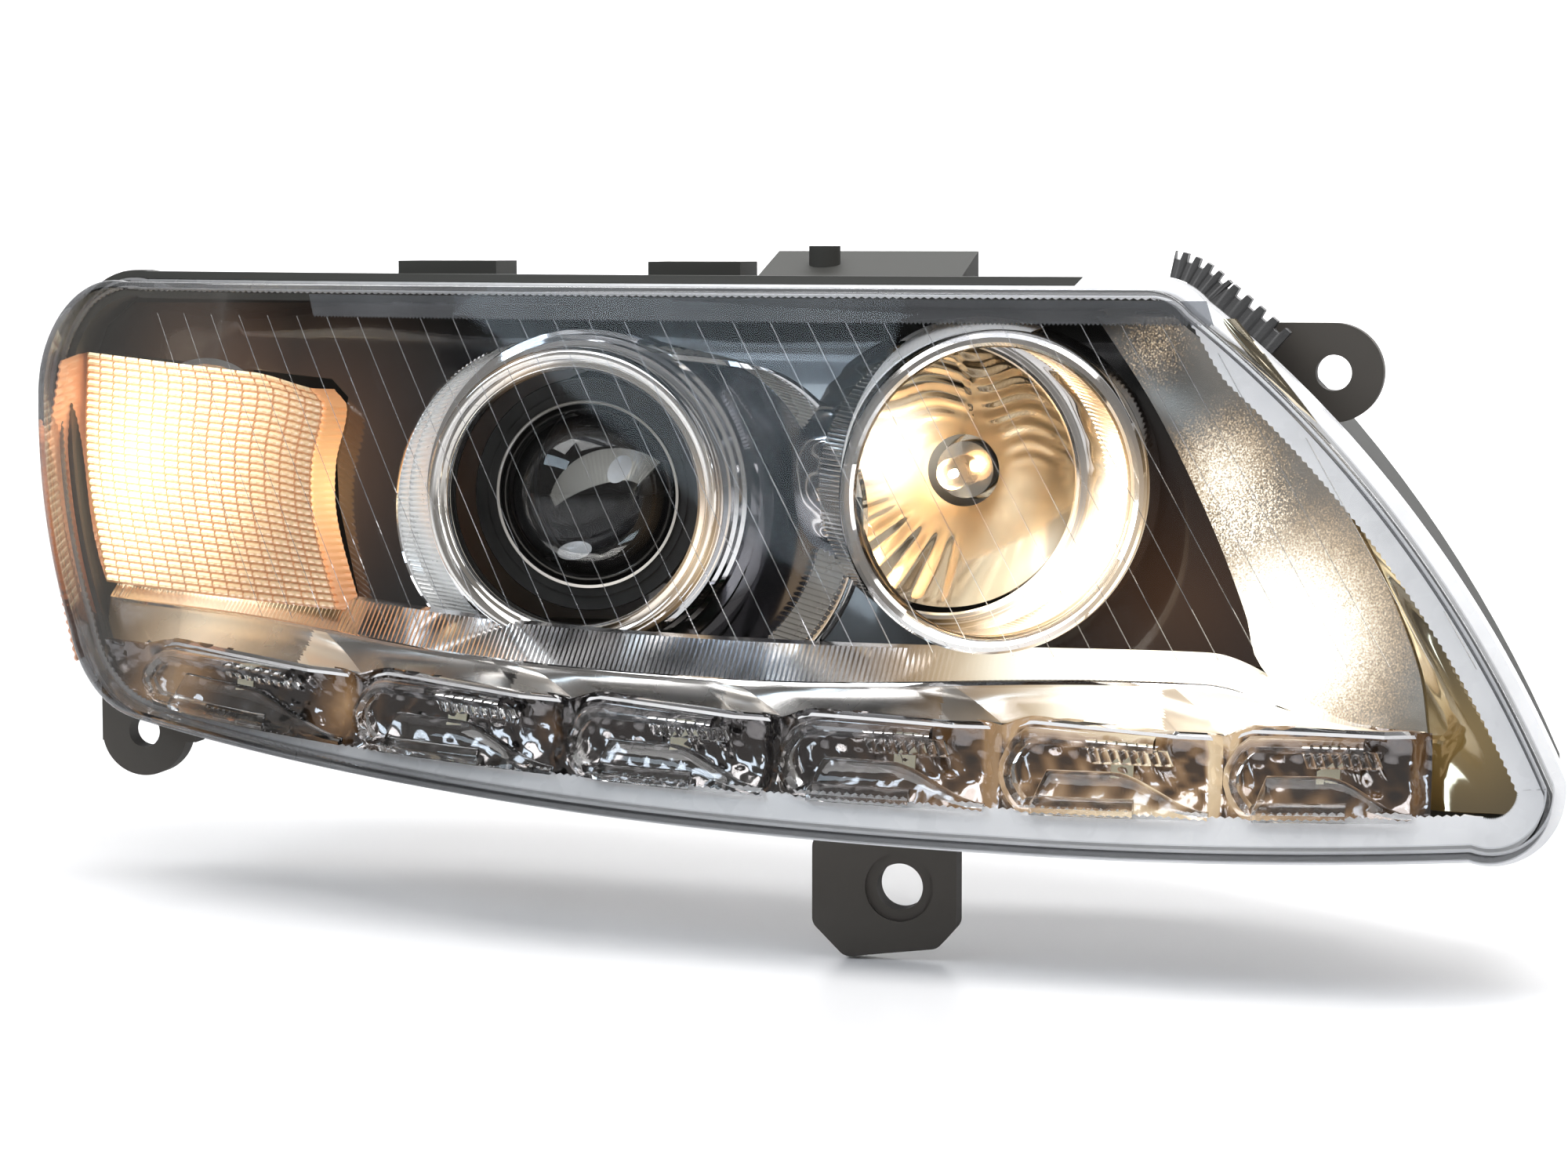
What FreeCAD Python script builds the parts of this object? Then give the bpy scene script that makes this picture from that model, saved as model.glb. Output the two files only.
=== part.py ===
"""Car headlight assembly, right-hand side, as a parametric assembly of separate pieces.

Frame: origin at the centre of the lower mounting hole, +X towards the middle of the car,
+Y towards the back of the car, +Z up.  Millimetres.
"""
import FreeCAD, Part
import math
import os
import re
import Sketcher

V = FreeCAD.Vector

SIZES = {
    # swept cover lens: two tangent arcs in plan, raked backwards
    "nose_x": 241, "nose_y": -75, "nose_z": 5,
    "inner_radius": 1500, "outer_radius": 800, "inner_sweep": 12, "rake": 17,
    "lens_wall": 3, "lens_skirt": 36,
    # front outline, seen from the front
    "top_z": 215.5, "top_inner_x": 88, "top_outer_x": -350,
    "outer_x": -397, "outer_z": 172, "base_outer_x": -318, "base_outer_z": 44,
    "base_mid_x": 37, "base_mid_z": 21.5, "base_inner_x": 205, "base_inner_z": 25.5,
    "tip_x": 232.5, "tip_z": 48, "slant_x": 183, "slant_z": 129, "slant_top_x": 103, "slant_top_z": 208,
    # housing
    "wall": 3, "rim_out": 4, "rim_in": 7, "rim_front": 27, "groove_floor": 38, "rim_back": 41,
    "back_outer": 228, "back_inner": 185, "step_x": -50, "step_run": 20,
    "collar": 12, "collar_wall": 4, "cap_reach": 13, "socket_reach": 10, "boss_reach": 14,
    "rib_half": 1, "rib_proud": 4, "rib_top": 205, "deep_rib_base": 74, "shallow_rib_base": 60,
    # optical axes
    "low_x": -138, "low_z": 135, "high_x": 3, "high_z": 144, "turn_x": -320, "turn_z": 138,
    "low_opening": 43, "high_opening": 36, "turn_opening": 17,
    # projector
    "glass_radius": 35, "glass_tip": 60, "glass_flat": 84, "glass_edge": 3,
    "holder_bore": 38, "holder_radius": 40.5, "holder_flange": 48,
    "neck_y": 200, "neck_radius": 15,
    # carrier
    "plate_front": 140, "plate_back": 144, "plate_left": -236, "plate_right": 88,
    "pivot_x": -215, "pivot_y": 142, "pivot_z": 195, "motor_z": 84, "screw_x": 75,
    "play": 0.3, "ball": 5, "nut_ball": 6, "ball_play": 0.6, "screw_circle": 44,
    # shutter
    "shutter_y": 130, "shutter_z": 101, "shutter_height": 30, "crank": 8, "crank_x": -108,
    # high beam reflector
    "bowl_radius": 50, "bowl_front": 66, "bowl_apex": 118, "bowl_neck": 14,
    # bezel
    "bezel_front": 52, "bezel_wall": 2.5, "bezel_left": -246, "ring_bore": 48.5, "ring_radius": 57.5,
    "shroud_radius": 60, "ring_front": 53, "high_ring_x": 33, "high_ring_bore": 54, "high_ring_front": 8,
    # lower trim strip and its six light cells
    "trim_front": 24, "trim_wall": 3, "trim_left": -356, "trim_right": 130, "trim_top": 86,
    "cell_left": -329, "cell_width": 104, "cell_step": 7, "cell_count": 6,
    "guide_front": 16, "guide_back": 28, "tray_back": 31, "led_half": 4, "board_wall": 1.6,
    # mounting holes
    "mount_bore": 8.5, "mount_length": 12, "ear_bore": 6.5, "ear_radius": 18, "ear_length": 10,
    "outer_ear_x": -333, "outer_ear_y": 118, "outer_ear_z": 34,
    "upper_ear_x": 150, "upper_ear_y": 50, "upper_ear_z": 185,
}

# centre of the breather cap on the shallow part of the back
VENT_X, VENT_Z = -30, 190

doc = FreeCAD.newDocument("headlight")
dims = doc.addObject("Spreadsheet::Sheet", "dims")
for row, (alias, number) in enumerate(SIZES.items(), start=1):
    dims.set(f"A{row}", alias)
    dims.set(f"B{row}", str(number))
    dims.setAlias(f"B{row}", alias)
doc.recompute()

nodes = []


# ---------------------------------------------------------------- helpers

def express(text):
    """An expression in which every size name points into the sheet."""
    return re.sub(r"[A-Za-z_]\w*", lambda word: ("dims." if word[0] in SIZES else "") + word[0], str(text))


def value(text):
    """The number that an expression gives now."""
    return float(dims.evalExpression(express(text)))


def bind(item, attribute, text):
    item.setExpression(attribute, express(text))


def place(item, at):
    for axis, text in zip("xyz", at):
        bind(item, f"Placement.Base.{axis}", text)
    return item


def node(item, name):
    """Mark an object as a finished sub-part."""
    item.Label = name
    nodes.append(item)
    return item


ALONG = {
    "X": FreeCAD.Rotation(V(0, 1, 0), 90),
    "Y": FreeCAD.Rotation(V(1, 0, 0), -90),
    "Z": FreeCAD.Rotation(),
    "front": FreeCAD.Rotation(V(1, 0, 0), 90),
}


def cylinder(name, radius, length, at, along="Y"):
    item = doc.addObject("Part::Cylinder", name)
    item.Placement = FreeCAD.Placement(V(), ALONG[along])
    bind(item, "Radius", radius)
    bind(item, "Height", length)
    return place(item, at)


def box(name, low, high):
    item = doc.addObject("Part::Box", name)
    for attribute, start, end in zip(("Length", "Width", "Height"), low, high):
        bind(item, attribute, f"({end}) - ({start})")
    return place(item, low)


def sphere(name, radius, at):
    item = doc.addObject("Part::Sphere", name)
    bind(item, "Radius", radius)
    return place(item, at)


def fuse(name, items):
    item = doc.addObject("Part::MultiFuse", name)
    item.Shapes = items
    item.Refine = True
    return item


def cut(name, base, tools):
    item = doc.addObject("Part::Cut", name)
    item.Base = base
    item.Tool = tools[0] if len(tools) == 1 else fuse(f"{name}_tools", tools)
    item.Refine = True
    return item


def shaped(name, shape):
    """A piece on the swept lens surface, which no primitive or sketch feature makes."""
    item = doc.addObject("Part::Feature", name)
    item.Shape = shape
    item.Placement = FreeCAD.Placement()
    return item


def sketch_polygon(body, name, plane_role, points):
    """Closed polygon whose corners are all bound to the sheet."""
    sketch = body.newObject("Sketcher::SketchObject", name)
    plane = [item for item in body.Origin.OriginFeatures if item.Role == plane_role][0]
    sketch.AttachmentSupport = [(plane, "")]
    sketch.MapMode = "FlatFace"
    corners = [V(value(across), value(up), 0) for across, up in points]
    count = len(corners)
    for index in range(count):
        sketch.addGeometry(Part.LineSegment(corners[index], corners[(index + 1) % count]), False)
    for index in range(count):
        sketch.addConstraint(Sketcher.Constraint("Coincident", index, 2, (index + 1) % count, 1))
    for index, corner in enumerate(corners):
        for kind, number, text in zip(("DistanceX", "DistanceY"), corner, points[index]):
            place_of = sketch.addConstraint(Sketcher.Constraint(kind, -1, 1, index, 1, number))
            sketch.setExpression(f"Constraints[{place_of}]", express(text))
    return sketch


def turned(name, profile, at, along="Y"):
    """Body of revolution; profile is (radius, distance along the axis)."""
    body = doc.addObject("PartDesign::Body", name)
    sketch = sketch_polygon(body, f"{name}_profile", "XZ_Plane", profile)
    turn = body.newObject("PartDesign::Revolution", f"{name}_turn")
    turn.Profile = sketch
    turn.ReferenceAxis = (sketch, ["V_Axis"])
    turn.Angle = 360
    sketch.Visibility = False
    body.Placement = FreeCAD.Placement(V(), ALONG[along])
    return place(body, at)


def plate(name, outline_points, thickness, back_y, corner_radius=None):
    """Upright plate; its outline is (x, z) and it runs forwards from back_y."""
    body = doc.addObject("PartDesign::Body", name)
    sketch = sketch_polygon(body, f"{name}_outline", "XY_Plane", outline_points)
    pad = body.newObject("PartDesign::Pad", f"{name}_pad")
    pad.Profile = sketch
    bind(pad, "Length", thickness)
    sketch.Visibility = False
    body.Placement = FreeCAD.Placement(V(), ALONG["front"])
    place(body, ("0", back_y, "0"))
    if corner_radius:
        doc.recompute()
        corners = [
            f"Edge{index}" for index, edge in enumerate(pad.Shape.Edges, start=1)
            if abs(edge.tangentAt(edge.FirstParameter).z) > 0.99
        ]
        fillet = body.newObject("PartDesign::Fillet", f"{name}_rounding")
        fillet.Base = (pad, corners)
        bind(fillet, "Radius", corner_radius)
    return body


# ---------------------------------------------------------------- swept lens surface

def lens_y(x, z):
    """Front surface of the cover lens: how far back it lies at x, z."""
    inner, outer = value("inner_radius"), value("outer_radius")
    sweep = math.radians(value("inner_sweep"))
    run = value("nose_x") - x
    joint_run = inner * math.sin(sweep)
    if run <= joint_run:
        back = inner - math.sqrt(inner ** 2 - run ** 2)
    else:
        reach = run - joint_run + outer * math.sin(sweep)
        back = (inner - outer) * (1 - math.cos(sweep)) + outer - math.sqrt(outer ** 2 - reach ** 2)
    return value("nose_y") + back + math.tan(math.radians(value("rake"))) * (z - value("nose_z"))


SWEEP_LEFT, SWEEP_RIGHT, SWEEP_BASE, SWEEP_HEIGHT = -425, 262, -45, 310
FAR_AHEAD = -600
JOINT_X = value("nose_x") - value("inner_radius") * math.sin(math.radians(value("inner_sweep")))


def sweep_region(front, back):
    """Solid between two copies of the lens surface, front and back millimetres behind it."""
    def arc(start, end, depth):
        points = [V(x, lens_y(x, SWEEP_BASE) + depth, SWEEP_BASE) for x in (start, (start + end) / 2, end)]
        return Part.Arc(*points).toShape()

    def side(x, start, end):
        y = lens_y(x, SWEEP_BASE)
        return Part.makeLine(V(x, y + start, SWEEP_BASE), V(x, y + end, SWEEP_BASE))

    wire = Part.Wire([
        arc(SWEEP_RIGHT, JOINT_X, front), arc(JOINT_X, SWEEP_LEFT, front), side(SWEEP_LEFT, front, back),
        arc(SWEEP_LEFT, JOINT_X, back), arc(JOINT_X, SWEEP_RIGHT, back), side(SWEEP_RIGHT, back, front),
    ])
    rise = SWEEP_HEIGHT * math.tan(math.radians(value("rake")))
    return Part.Face(wire).extrude(V(0, rise, SWEEP_HEIGHT))


PRISM_FRONT, PRISM_DEPTH = -140, 460


def wire_of(pieces):
    """Wire in the X-Z plane from (start, via, end) arcs and (start, end) lines."""
    edges = []
    for piece in pieces:
        points = [V(x, PRISM_FRONT, z) for x, z in piece]
        edges.append(Part.Arc(*points).toShape() if len(points) == 3 else Part.makeLine(*points))
    return Part.Wire(edges)


def outline(offset=0):
    """Front outline of the lamp, grown outwards by offset."""
    top_inner = (value("top_inner_x"), value("top_z"))
    top_outer = (value("top_outer_x"), value("top_z"))
    outer = (value("outer_x"), value("outer_z"))
    base_outer = (value("base_outer_x"), value("base_outer_z"))
    lower_outer = (outer[0] + 35, outer[1] - 97)
    base_mid = (value("base_mid_x"), value("base_mid_z"))
    base_inner = (value("base_inner_x"), value("base_inner_z"))
    tip = (value("tip_x"), value("tip_z"))
    slant = (value("slant_x"), value("slant_z"))
    slant_top = (value("slant_top_x"), value("slant_top_z"))
    wire = wire_of([
        (top_inner, top_outer),
        (top_outer, (outer[0] + 11, top_outer[1] - 12), outer),
        (outer, (outer[0] + 9, outer[1] - 41), lower_outer),
        (lower_outer, (base_outer[0] - 27, base_outer[1] + 10), base_outer),
        (base_outer, (-128, base_mid[1] + 5.5), base_mid),
        (base_mid, (130, base_mid[1] + 0.5), base_inner),
        (base_inner, (tip[0] - 4.5, base_inner[1] + 7), tip),
        (tip, slant, slant_top),
        (slant_top, (slant_top[0] - 6, top_inner[1] - 2.6), top_inner),
    ])
    return wire.makeOffset2D(offset) if offset else wire


def prism(wire):
    return Part.Face(wire).extrude(V(0, PRISM_DEPTH, 0))


def polygon(points):
    return wire_of([(points[index], points[(index + 1) % len(points)]) for index in range(len(points))])


def slab(wire, front, back):
    """The part of a forward-facing prism between two depths behind the lens surface."""
    return prism(wire).common(sweep_region(front, back))


def plan_prism(points, grow=0):
    wire = Part.makePolygon([V(x, y, SWEEP_BASE) for x, y in points + points[:1]])
    if grow:
        wire = wire.makeOffset2D(grow)
    return Part.Face(wire).extrude(V(0, 0, SWEEP_HEIGHT))


def side_prism(points, grow=0):
    wire = Part.makePolygon([V(SWEEP_LEFT, y, z) for y, z in points + points[:1]])
    if grow:
        wire = wire.makeOffset2D(grow)
    return Part.Face(wire).extrude(V(SWEEP_RIGHT - SWEEP_LEFT, 0, 0))


def round_bar(radius, start_y, end_y, x, z):
    return Part.makeCylinder(radius, end_y - start_y, V(x, start_y, z), V(0, 1, 0))


def block(low, high):
    return Part.makeBox(high[0] - low[0], high[1] - low[1], high[2] - low[2], V(*low))


def largest(shape):
    return max(shape.Solids, key=lambda solid: solid.Volume)


# ---------------------------------------------------------------- outer shell

def make_cover_lens():
    wall, skirt = value("lens_wall"), value("lens_skirt")
    shell = slab(outline(), 0, skirt).cut(slab(outline(-wall), wall, skirt + 10))
    return node(shaped("cover_lens", shell), "cover_lens")


def make_lens_seal():
    wall = value("lens_wall")
    front, back = value("lens_skirt"), value("groove_floor")
    ring = slab(outline(), front, back).cut(prism(outline(-wall)))
    return node(shaped("lens_seal", ring), "lens_seal")


def back_outline():
    """Back of the housing in plan: deep behind the low beam, stepped in behind the high beam."""
    deep, shallow = value("back_outer"), value("back_inner")
    step, run = value("step_x"), value("step_run")
    return [
        (-440, -160), (-440, deep), (step - run, deep), (step, shallow),
        (96, shallow), (275, 5), (275, -160),
    ]


def side_outline():
    """Side of the housing: flat top, floor rising towards the back."""
    return [(-160, -30), (-160, 260), (300, 260), (300, 82), (value("back_outer"), 58), (30, -8), (0, -30)]


def make_housing():
    wall, floor = value("wall"), value("groove_floor")
    rim = slab(outline(value("rim_out")), value("rim_front"), value("rim_back"))
    groove = slab(outline(1), 0, floor)
    bulk = prism(outline()).common(plan_prism(back_outline())).common(side_prism(side_outline()))
    tub = bulk.cut(sweep_region(FAR_AHEAD, floor))
    hollow = prism(outline(-wall)).common(plan_prism(back_outline(), -wall))
    hollow = hollow.common(side_prism(side_outline(), -wall)).cut(sweep_region(FAR_AHEAD, value("rim_back")))
    lip = slab(outline(-value("rim_in")), -20, value("rim_back") + 1)
    inner_lip = slab(outline(-wall - 1), value("rim_front") - 1, floor)
    inner_lip = inner_lip.cut(prism(outline(-value("rim_in"))))
    shape = rim.cut(groove).fuse([tub, inner_lip]).cut(hollow).cut(lip)
    collar, wide = value("collar"), value("collar_wall")
    openings = (("low", "low_opening", "back_outer"), ("high", "high_opening", "back_inner"))
    for axis, opening, back in openings:
        x, z, radius, end = value(f"{axis}_x"), value(f"{axis}_z"), value(opening), value(back)
        shape = shape.fuse(round_bar(radius + wide, end - wall, end + collar, x, z))
        shape = shape.cut(round_bar(radius, end - wall - 1, end + collar + 1, x, z))
    x, z, end = value("turn_x"), value("turn_z"), value("back_outer")
    shape = shape.fuse(round_bar(value("turn_opening") + wide, end - wall, end + 6, x, z))
    shape = shape.cut(round_bar(value("turn_opening"), end - wall - 1, end + 7, x, z))
    screw_x, pivot_x, pivot_z = value("screw_x"), value("pivot_x"), value("pivot_z")
    shape = shape.fuse(round_bar(9, value("back_inner") - 25, value("back_inner") + 4, screw_x, pivot_z))
    shape = shape.cut(round_bar(3.3, 100, 240, screw_x, pivot_z))
    deep, shallow = value("back_outer"), value("back_inner")
    boss = value("boss_reach")
    shape = shape.cut(round_bar(boss, deep - 10, deep + 10, pivot_x, value("motor_z")))
    # the ribs on the back stay clear of the caps, socket, bosses, connector and motor
    cap, socket = value("cap_reach"), value("socket_reach")
    keep_clear = [
        round_bar(value("low_opening") + cap, 100, 300, value("low_x"), value("low_z")),
        round_bar(value("high_opening") + cap, 100, 300, value("high_x"), value("high_z")),
        round_bar(value("turn_opening") + socket, 100, 300, value("turn_x"), value("turn_z")),
        round_bar(boss, 100, 300, screw_x, pivot_z), round_bar(boss, 100, 300, VENT_X, VENT_Z),
        block((-290, 200, 170), (-234, 300, 202)), block((-245, 200, 50), (-185, 300, 110)),
    ]
    deep_ribs = [(x, deep, value("deep_rib_base")) for x in (-290, -258, -178, -98, -82)]
    shallow_ribs = [(x, shallow, value("shallow_rib_base")) for x in (-36, 26, 54, 82)]
    half, proud, top = value("rib_half"), value("rib_proud"), value("rib_top")
    for x, back, base in deep_ribs + shallow_ribs:
        rib = block((x - half, back - 1, base), (x + half, back + proud, top))
        shape = shape.fuse(rib.cut(keep_clear))
    for left, right, height in ((-222, -182, 9), (-112, -76, 9)):
        y = lens_y((left + right) / 2, value("top_z")) + value("rim_back")
        shape = shape.fuse(block((left, y + 4, value("top_z") - 1), (right, y + 34, value("top_z") + height)))
    return node(shaped("housing", shape.removeSplitter()), "housing")


def make_mount_brackets():
    """Three ears that bolt the lamp to the car; the lower one holds the origin."""
    tab = plate("lower_ear_plate", [
        ("-32", "19"), ("-32", "-14"), ("-20", "-26"), ("14", "-22"), ("21", "-14"), ("21", "19"),
    ], "mount_length", "mount_length / 2", "5")
    bore = cylinder("lower_ear_bore", "mount_bore", "mount_length + 2", ("0", "-mount_length / 2 - 1", "0"))
    recess = cylinder("lower_ear_recess", "mount_bore + 4", "2.5", ("0", "-mount_length / 2 - 1", "0"))
    node(cut("lower_mount_ear", tab, [bore, recess]), "lower_mount_ear")

    for name, low, high in (("outer", (-18, -4), (22, 24)), ("upper", (-34, -30), (0, 18))):
        x, y, z = (value(f"{name}_ear_{axis}") for axis in "xyz")
        half = value("ear_length") / 2
        ear = round_bar(value("ear_radius"), y - half, y + half, x, z)
        ear = ear.fuse(block((x + low[0], y - half, z + low[1]), (x + high[0], y + half, z + high[1])))
        rim = slab(outline(value("rim_out")), value("rim_front"), value("rim_back"))
        ear = ear.cut([prism(outline()), rim])
        ear = ear.cut(round_bar(value("ear_bore"), y - half - 1, y + half + 1, x, z))
        node(shaped(f"{name}_mount_ear", largest(ear)), f"{name}_mount_ear")


def make_edge_trims():
    """Curved finger strip over the inner top corner and the flat strip on the outer side."""
    strip = slab(outline(20), value("rim_back"), value("rim_back") + 12).cut(prism(outline()))
    strip = strip.common(block((84, -160, 196), (128, 300, 240)))
    strip = strip.cut(block((value("upper_ear_x") - 31, -100, 100), (200, 200, value("upper_ear_z") + 19)))
    node(shaped("corner_strip", largest(strip)), "corner_strip")
    side = slab(outline(9), value("rim_back"), value("rim_back") + 8).cut(prism(outline()))
    side = side.common(block((-410, -100, 120), (-380, 300, 183)))
    node(shaped("side_strip", largest(side)), "side_strip")
    y = lens_y(-68, value("top_z")) + value("rim_back") + 1
    top = value("top_z")
    profile = [(0, 0), (0, 3), (42, 13), (42, 0), (0, 0)]
    cover = Part.makePolygon([V(-68, y + back, top + up) for back, up in profile])
    cover = Part.Face(cover).extrude(V(78, 0, 0))
    cover = cover.fuse(Part.makeCylinder(6, 10, V(-46, y + 22, top + 5), V(0, 0, 1)))
    node(shaped("top_cover", cover.removeSplitter()), "top_cover")


# ---------------------------------------------------------------- trim behind the lens

def high_ring_bar(grow=0):
    """Bar along the bore of the high beam ring."""
    return round_bar(value("high_ring_bore") + grow, -100, 200, value("high_ring_x"), value("high_z"))


def make_inner_bezel():
    front, wall = value("bezel_front"), value("bezel_wall")
    left = value("bezel_left")
    sheet = slab(outline(-value("wall")), front, front + wall)
    window = polygon([
        (left - 4, 240), (62, 240), (150, 60), (150, 0), (left + 14, 0), (left + 14, 88),
    ])
    sheet = sheet.common(prism(window))
    sheet = sheet.cut(round_bar(value("ring_radius"), -100, 200, value("low_x"), value("low_z")))
    sheet = sheet.cut(high_ring_bar())
    node(shaped("inner_bezel", largest(sheet)), "inner_bezel")


def make_rings():
    x, z, front = value("low_x"), value("low_z"), value("ring_front")
    ahead = sweep_region(-200, value("bezel_front"))
    shroud = round_bar(value("shroud_radius"), front, 120, x, z)
    shroud = shroud.cut(round_bar(value("ring_radius"), 0, 200, x, z))
    node(shaped("projector_shroud", shroud.common(ahead)), "projector_shroud")
    node(turned("projector_ring", [
        ("ring_bore", "4"), ("ring_bore + 1", "0"), ("ring_radius", "1.5"), ("ring_radius", "5"),
        ("ring_bore + 1.5", "9"), ("ring_bore", "9"),
    ], ("low_x", "ring_front", "low_z")), "projector_ring")
    ring = high_ring_bar(value("wall")).cut(high_ring_bar()).common(ahead)
    ring = ring.cut(sweep_region(FAR_AHEAD, value("high_ring_front")))
    node(shaped("high_beam_ring", ring), "high_beam_ring")


def make_side_panels():
    slant = prism(polygon([(64, 240), (152, 60), (152, 0), (260, 0), (260, 240)]))
    panel = slab(outline(-value("wall")), 44, 47).common(slant)
    panel = panel.common(prism(polygon([(0, 240), (105, 240), (192, 62), (192, 0), (0, 0)])))
    node(shaped("satin_panel", panel), "satin_panel")
    mirror = slab(outline(-value("rim_in")), 24, 27)
    mirror = mirror.common(prism(polygon([(106, 240), (193, 62), (193, 0), (260, 0), (260, 240)])))
    web = slab(outline(-value("rim_in")), 27, 44)
    web = web.common(prism(polygon([(106, 240), (193, 62), (193, 0), (196, 0), (196, 62), (109, 240)])))
    node(shaped("mirror_wall", mirror.fuse(web).removeSplitter()), "mirror_wall")


def cell_edge(index):
    """Boundary between light cells; the cells narrow towards the middle of the car."""
    return value("cell_left") + index * value("cell_width") - value("cell_step") * index * (index - 1) / 2


def cell_top(x):
    return 60 + 9 * ((x - 60) / 390) ** 2


def cell_bottom(x):
    return 33 + 22 * ((x - 60) / 413) ** 2


def make_trim_strip():
    """Bright strip under the lamps with a stepped lower edge, one step for each light cell."""
    left, right, top = value("trim_left"), value("trim_right"), value("trim_top")
    start, middle, end = (left, top + 11), (-112, top), (right, top + 1.5)
    tip = (cell_edge(6), cell_top(cell_edge(6)))
    pieces = [(start, middle, end), (end, tip)]
    corner = tip
    for index in range(5, -1, -1):
        x = cell_edge(index)
        knee = (x + 11, cell_top(x) + 3)
        pieces += [(corner, knee), (knee, (x, cell_top(x)))]
        corner = (x, cell_top(x))
    pieces += [(corner, start)]
    front, wall = value("trim_front"), value("trim_wall")
    strip = slab(wire_of(pieces), front, front + wall)
    lower = [(left, top + 11), (-112, top), (right, top + 1.5)]
    shelf = wire_of([
        tuple(lower), (lower[2], (right, top - 1.5)),
        ((right, top - 1.5), (-112, top - 3), (left, top + 8)), ((left, top + 8), lower[0]),
    ])
    strip = strip.fuse(slab(shelf, front + wall, value("bezel_front")))
    turn_space = prism(polygon([(-420, 240), (-234, 240), (-234, 60), (-420, 60)]))
    strip = strip.cut(turn_space.common(sweep_region(30, 80)))
    strip = strip.cut(round_bar(value("shroud_radius"), 0, 200, value("low_x"), value("low_z")))
    node(shaped("trim_strip", strip.removeSplitter()), "trim_strip")


def cell_prism(index, front, back, margin):
    low, high = cell_edge(index) + margin, cell_edge(index + 1) - margin
    return slab(polygon([
        (low, cell_bottom(low) + margin), (high, cell_bottom(high) + margin),
        (high, cell_top(high) - margin), (low, cell_top(low) - margin),
    ]), front, back)


def make_running_lights():
    count = int(value("cell_count"))
    front, back, rear = value("guide_front"), value("guide_back"), value("tray_back")
    start, end = cell_edge(0), cell_edge(count)
    guides = [cell_prism(index, front, back, 2.5) for index in range(count)]
    node(shaped("light_guides", Part.makeCompound(guides)), "light_guides")
    tray = slab(outline(-value("rim_in")), back, rear)
    reach = polygon([(start - 14, 0), (end + 2, 0), (end + 2, 58), (start - 14, 66)])
    tray = tray.common(prism(reach))
    leds, windows = [], []
    half = value("led_half")
    for index in range(count):
        middle = (cell_edge(index) + cell_edge(index + 1)) / 2
        height = (cell_top(middle) + cell_bottom(middle)) / 2
        spot = polygon([
            (middle - half, height - half), (middle + half, height - half),
            (middle + half, height + half), (middle - half, height + half),
        ])
        leds.append(slab(spot, back + 0.5, rear + 0.5))
        windows.append(prism(spot))
    node(shaped("light_tray", tray.cut(windows)), "light_tray")
    node(shaped("running_leds", Part.makeCompound(leds)), "running_leds")
    sheet = polygon([
        (start + 12, cell_bottom(start)), (-60, 38), (end - 12, 38),
        (end - 12, 55), (-60, 55), (start + 12, 64),
    ])
    board = slab(sheet, rear + 0.5, rear + 0.5 + value("board_wall"))
    node(shaped("running_light_board", board), "running_light_board")


def make_turn_signal():
    region = prism(polygon([(-430, 240), (-251, 240), (-234, 84), (-380, 92), (-430, 100)]))
    optic = slab(outline(-value("rim_in")), 34, 38).common(region)
    node(shaped("turn_optic", optic), "turn_optic")
    bowl = turned("turn_bowl_turned", [
        ("turn_opening", "0"), ("turn_opening + 2", "0"), ("34", "-22"), ("46", "-60"), ("46", "-110"),
        ("43.5", "-110"), ("43.5", "-60"), ("31.5", "-22"), ("turn_opening", "-3"),
    ], ("turn_x", "back_outer - wall", "turn_z"))
    ahead = shaped("turn_bowl_space", sweep_region(46, 300).common(prism(outline(-value("wall") - 1))))
    bowl_cut = doc.addObject("Part::Common", "turn_reflector")
    bowl_cut.Base = bowl
    bowl_cut.Tool = ahead
    node(bowl_cut, "turn_reflector")
    node(turned("turn_bulb", [
        ("0", "0"), ("6", "0"), ("6", "-8"), ("9", "-14"), ("9", "-26"), ("5", "-32"), ("0", "-33"),
    ], ("turn_x", "back_outer", "turn_z")), "turn_bulb")
    node(turned("turn_socket", [
        ("0", "0"), ("turn_opening - 1", "0"), ("turn_opening - 1", "6.4"), ("turn_opening + 5", "6.4"),
        ("turn_opening + 5", "11"), ("11", "11"), ("11", "26"), ("0", "26"),
    ], ("turn_x", "back_outer", "turn_z")), "turn_socket")


# ---------------------------------------------------------------- carrier and projector

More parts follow.
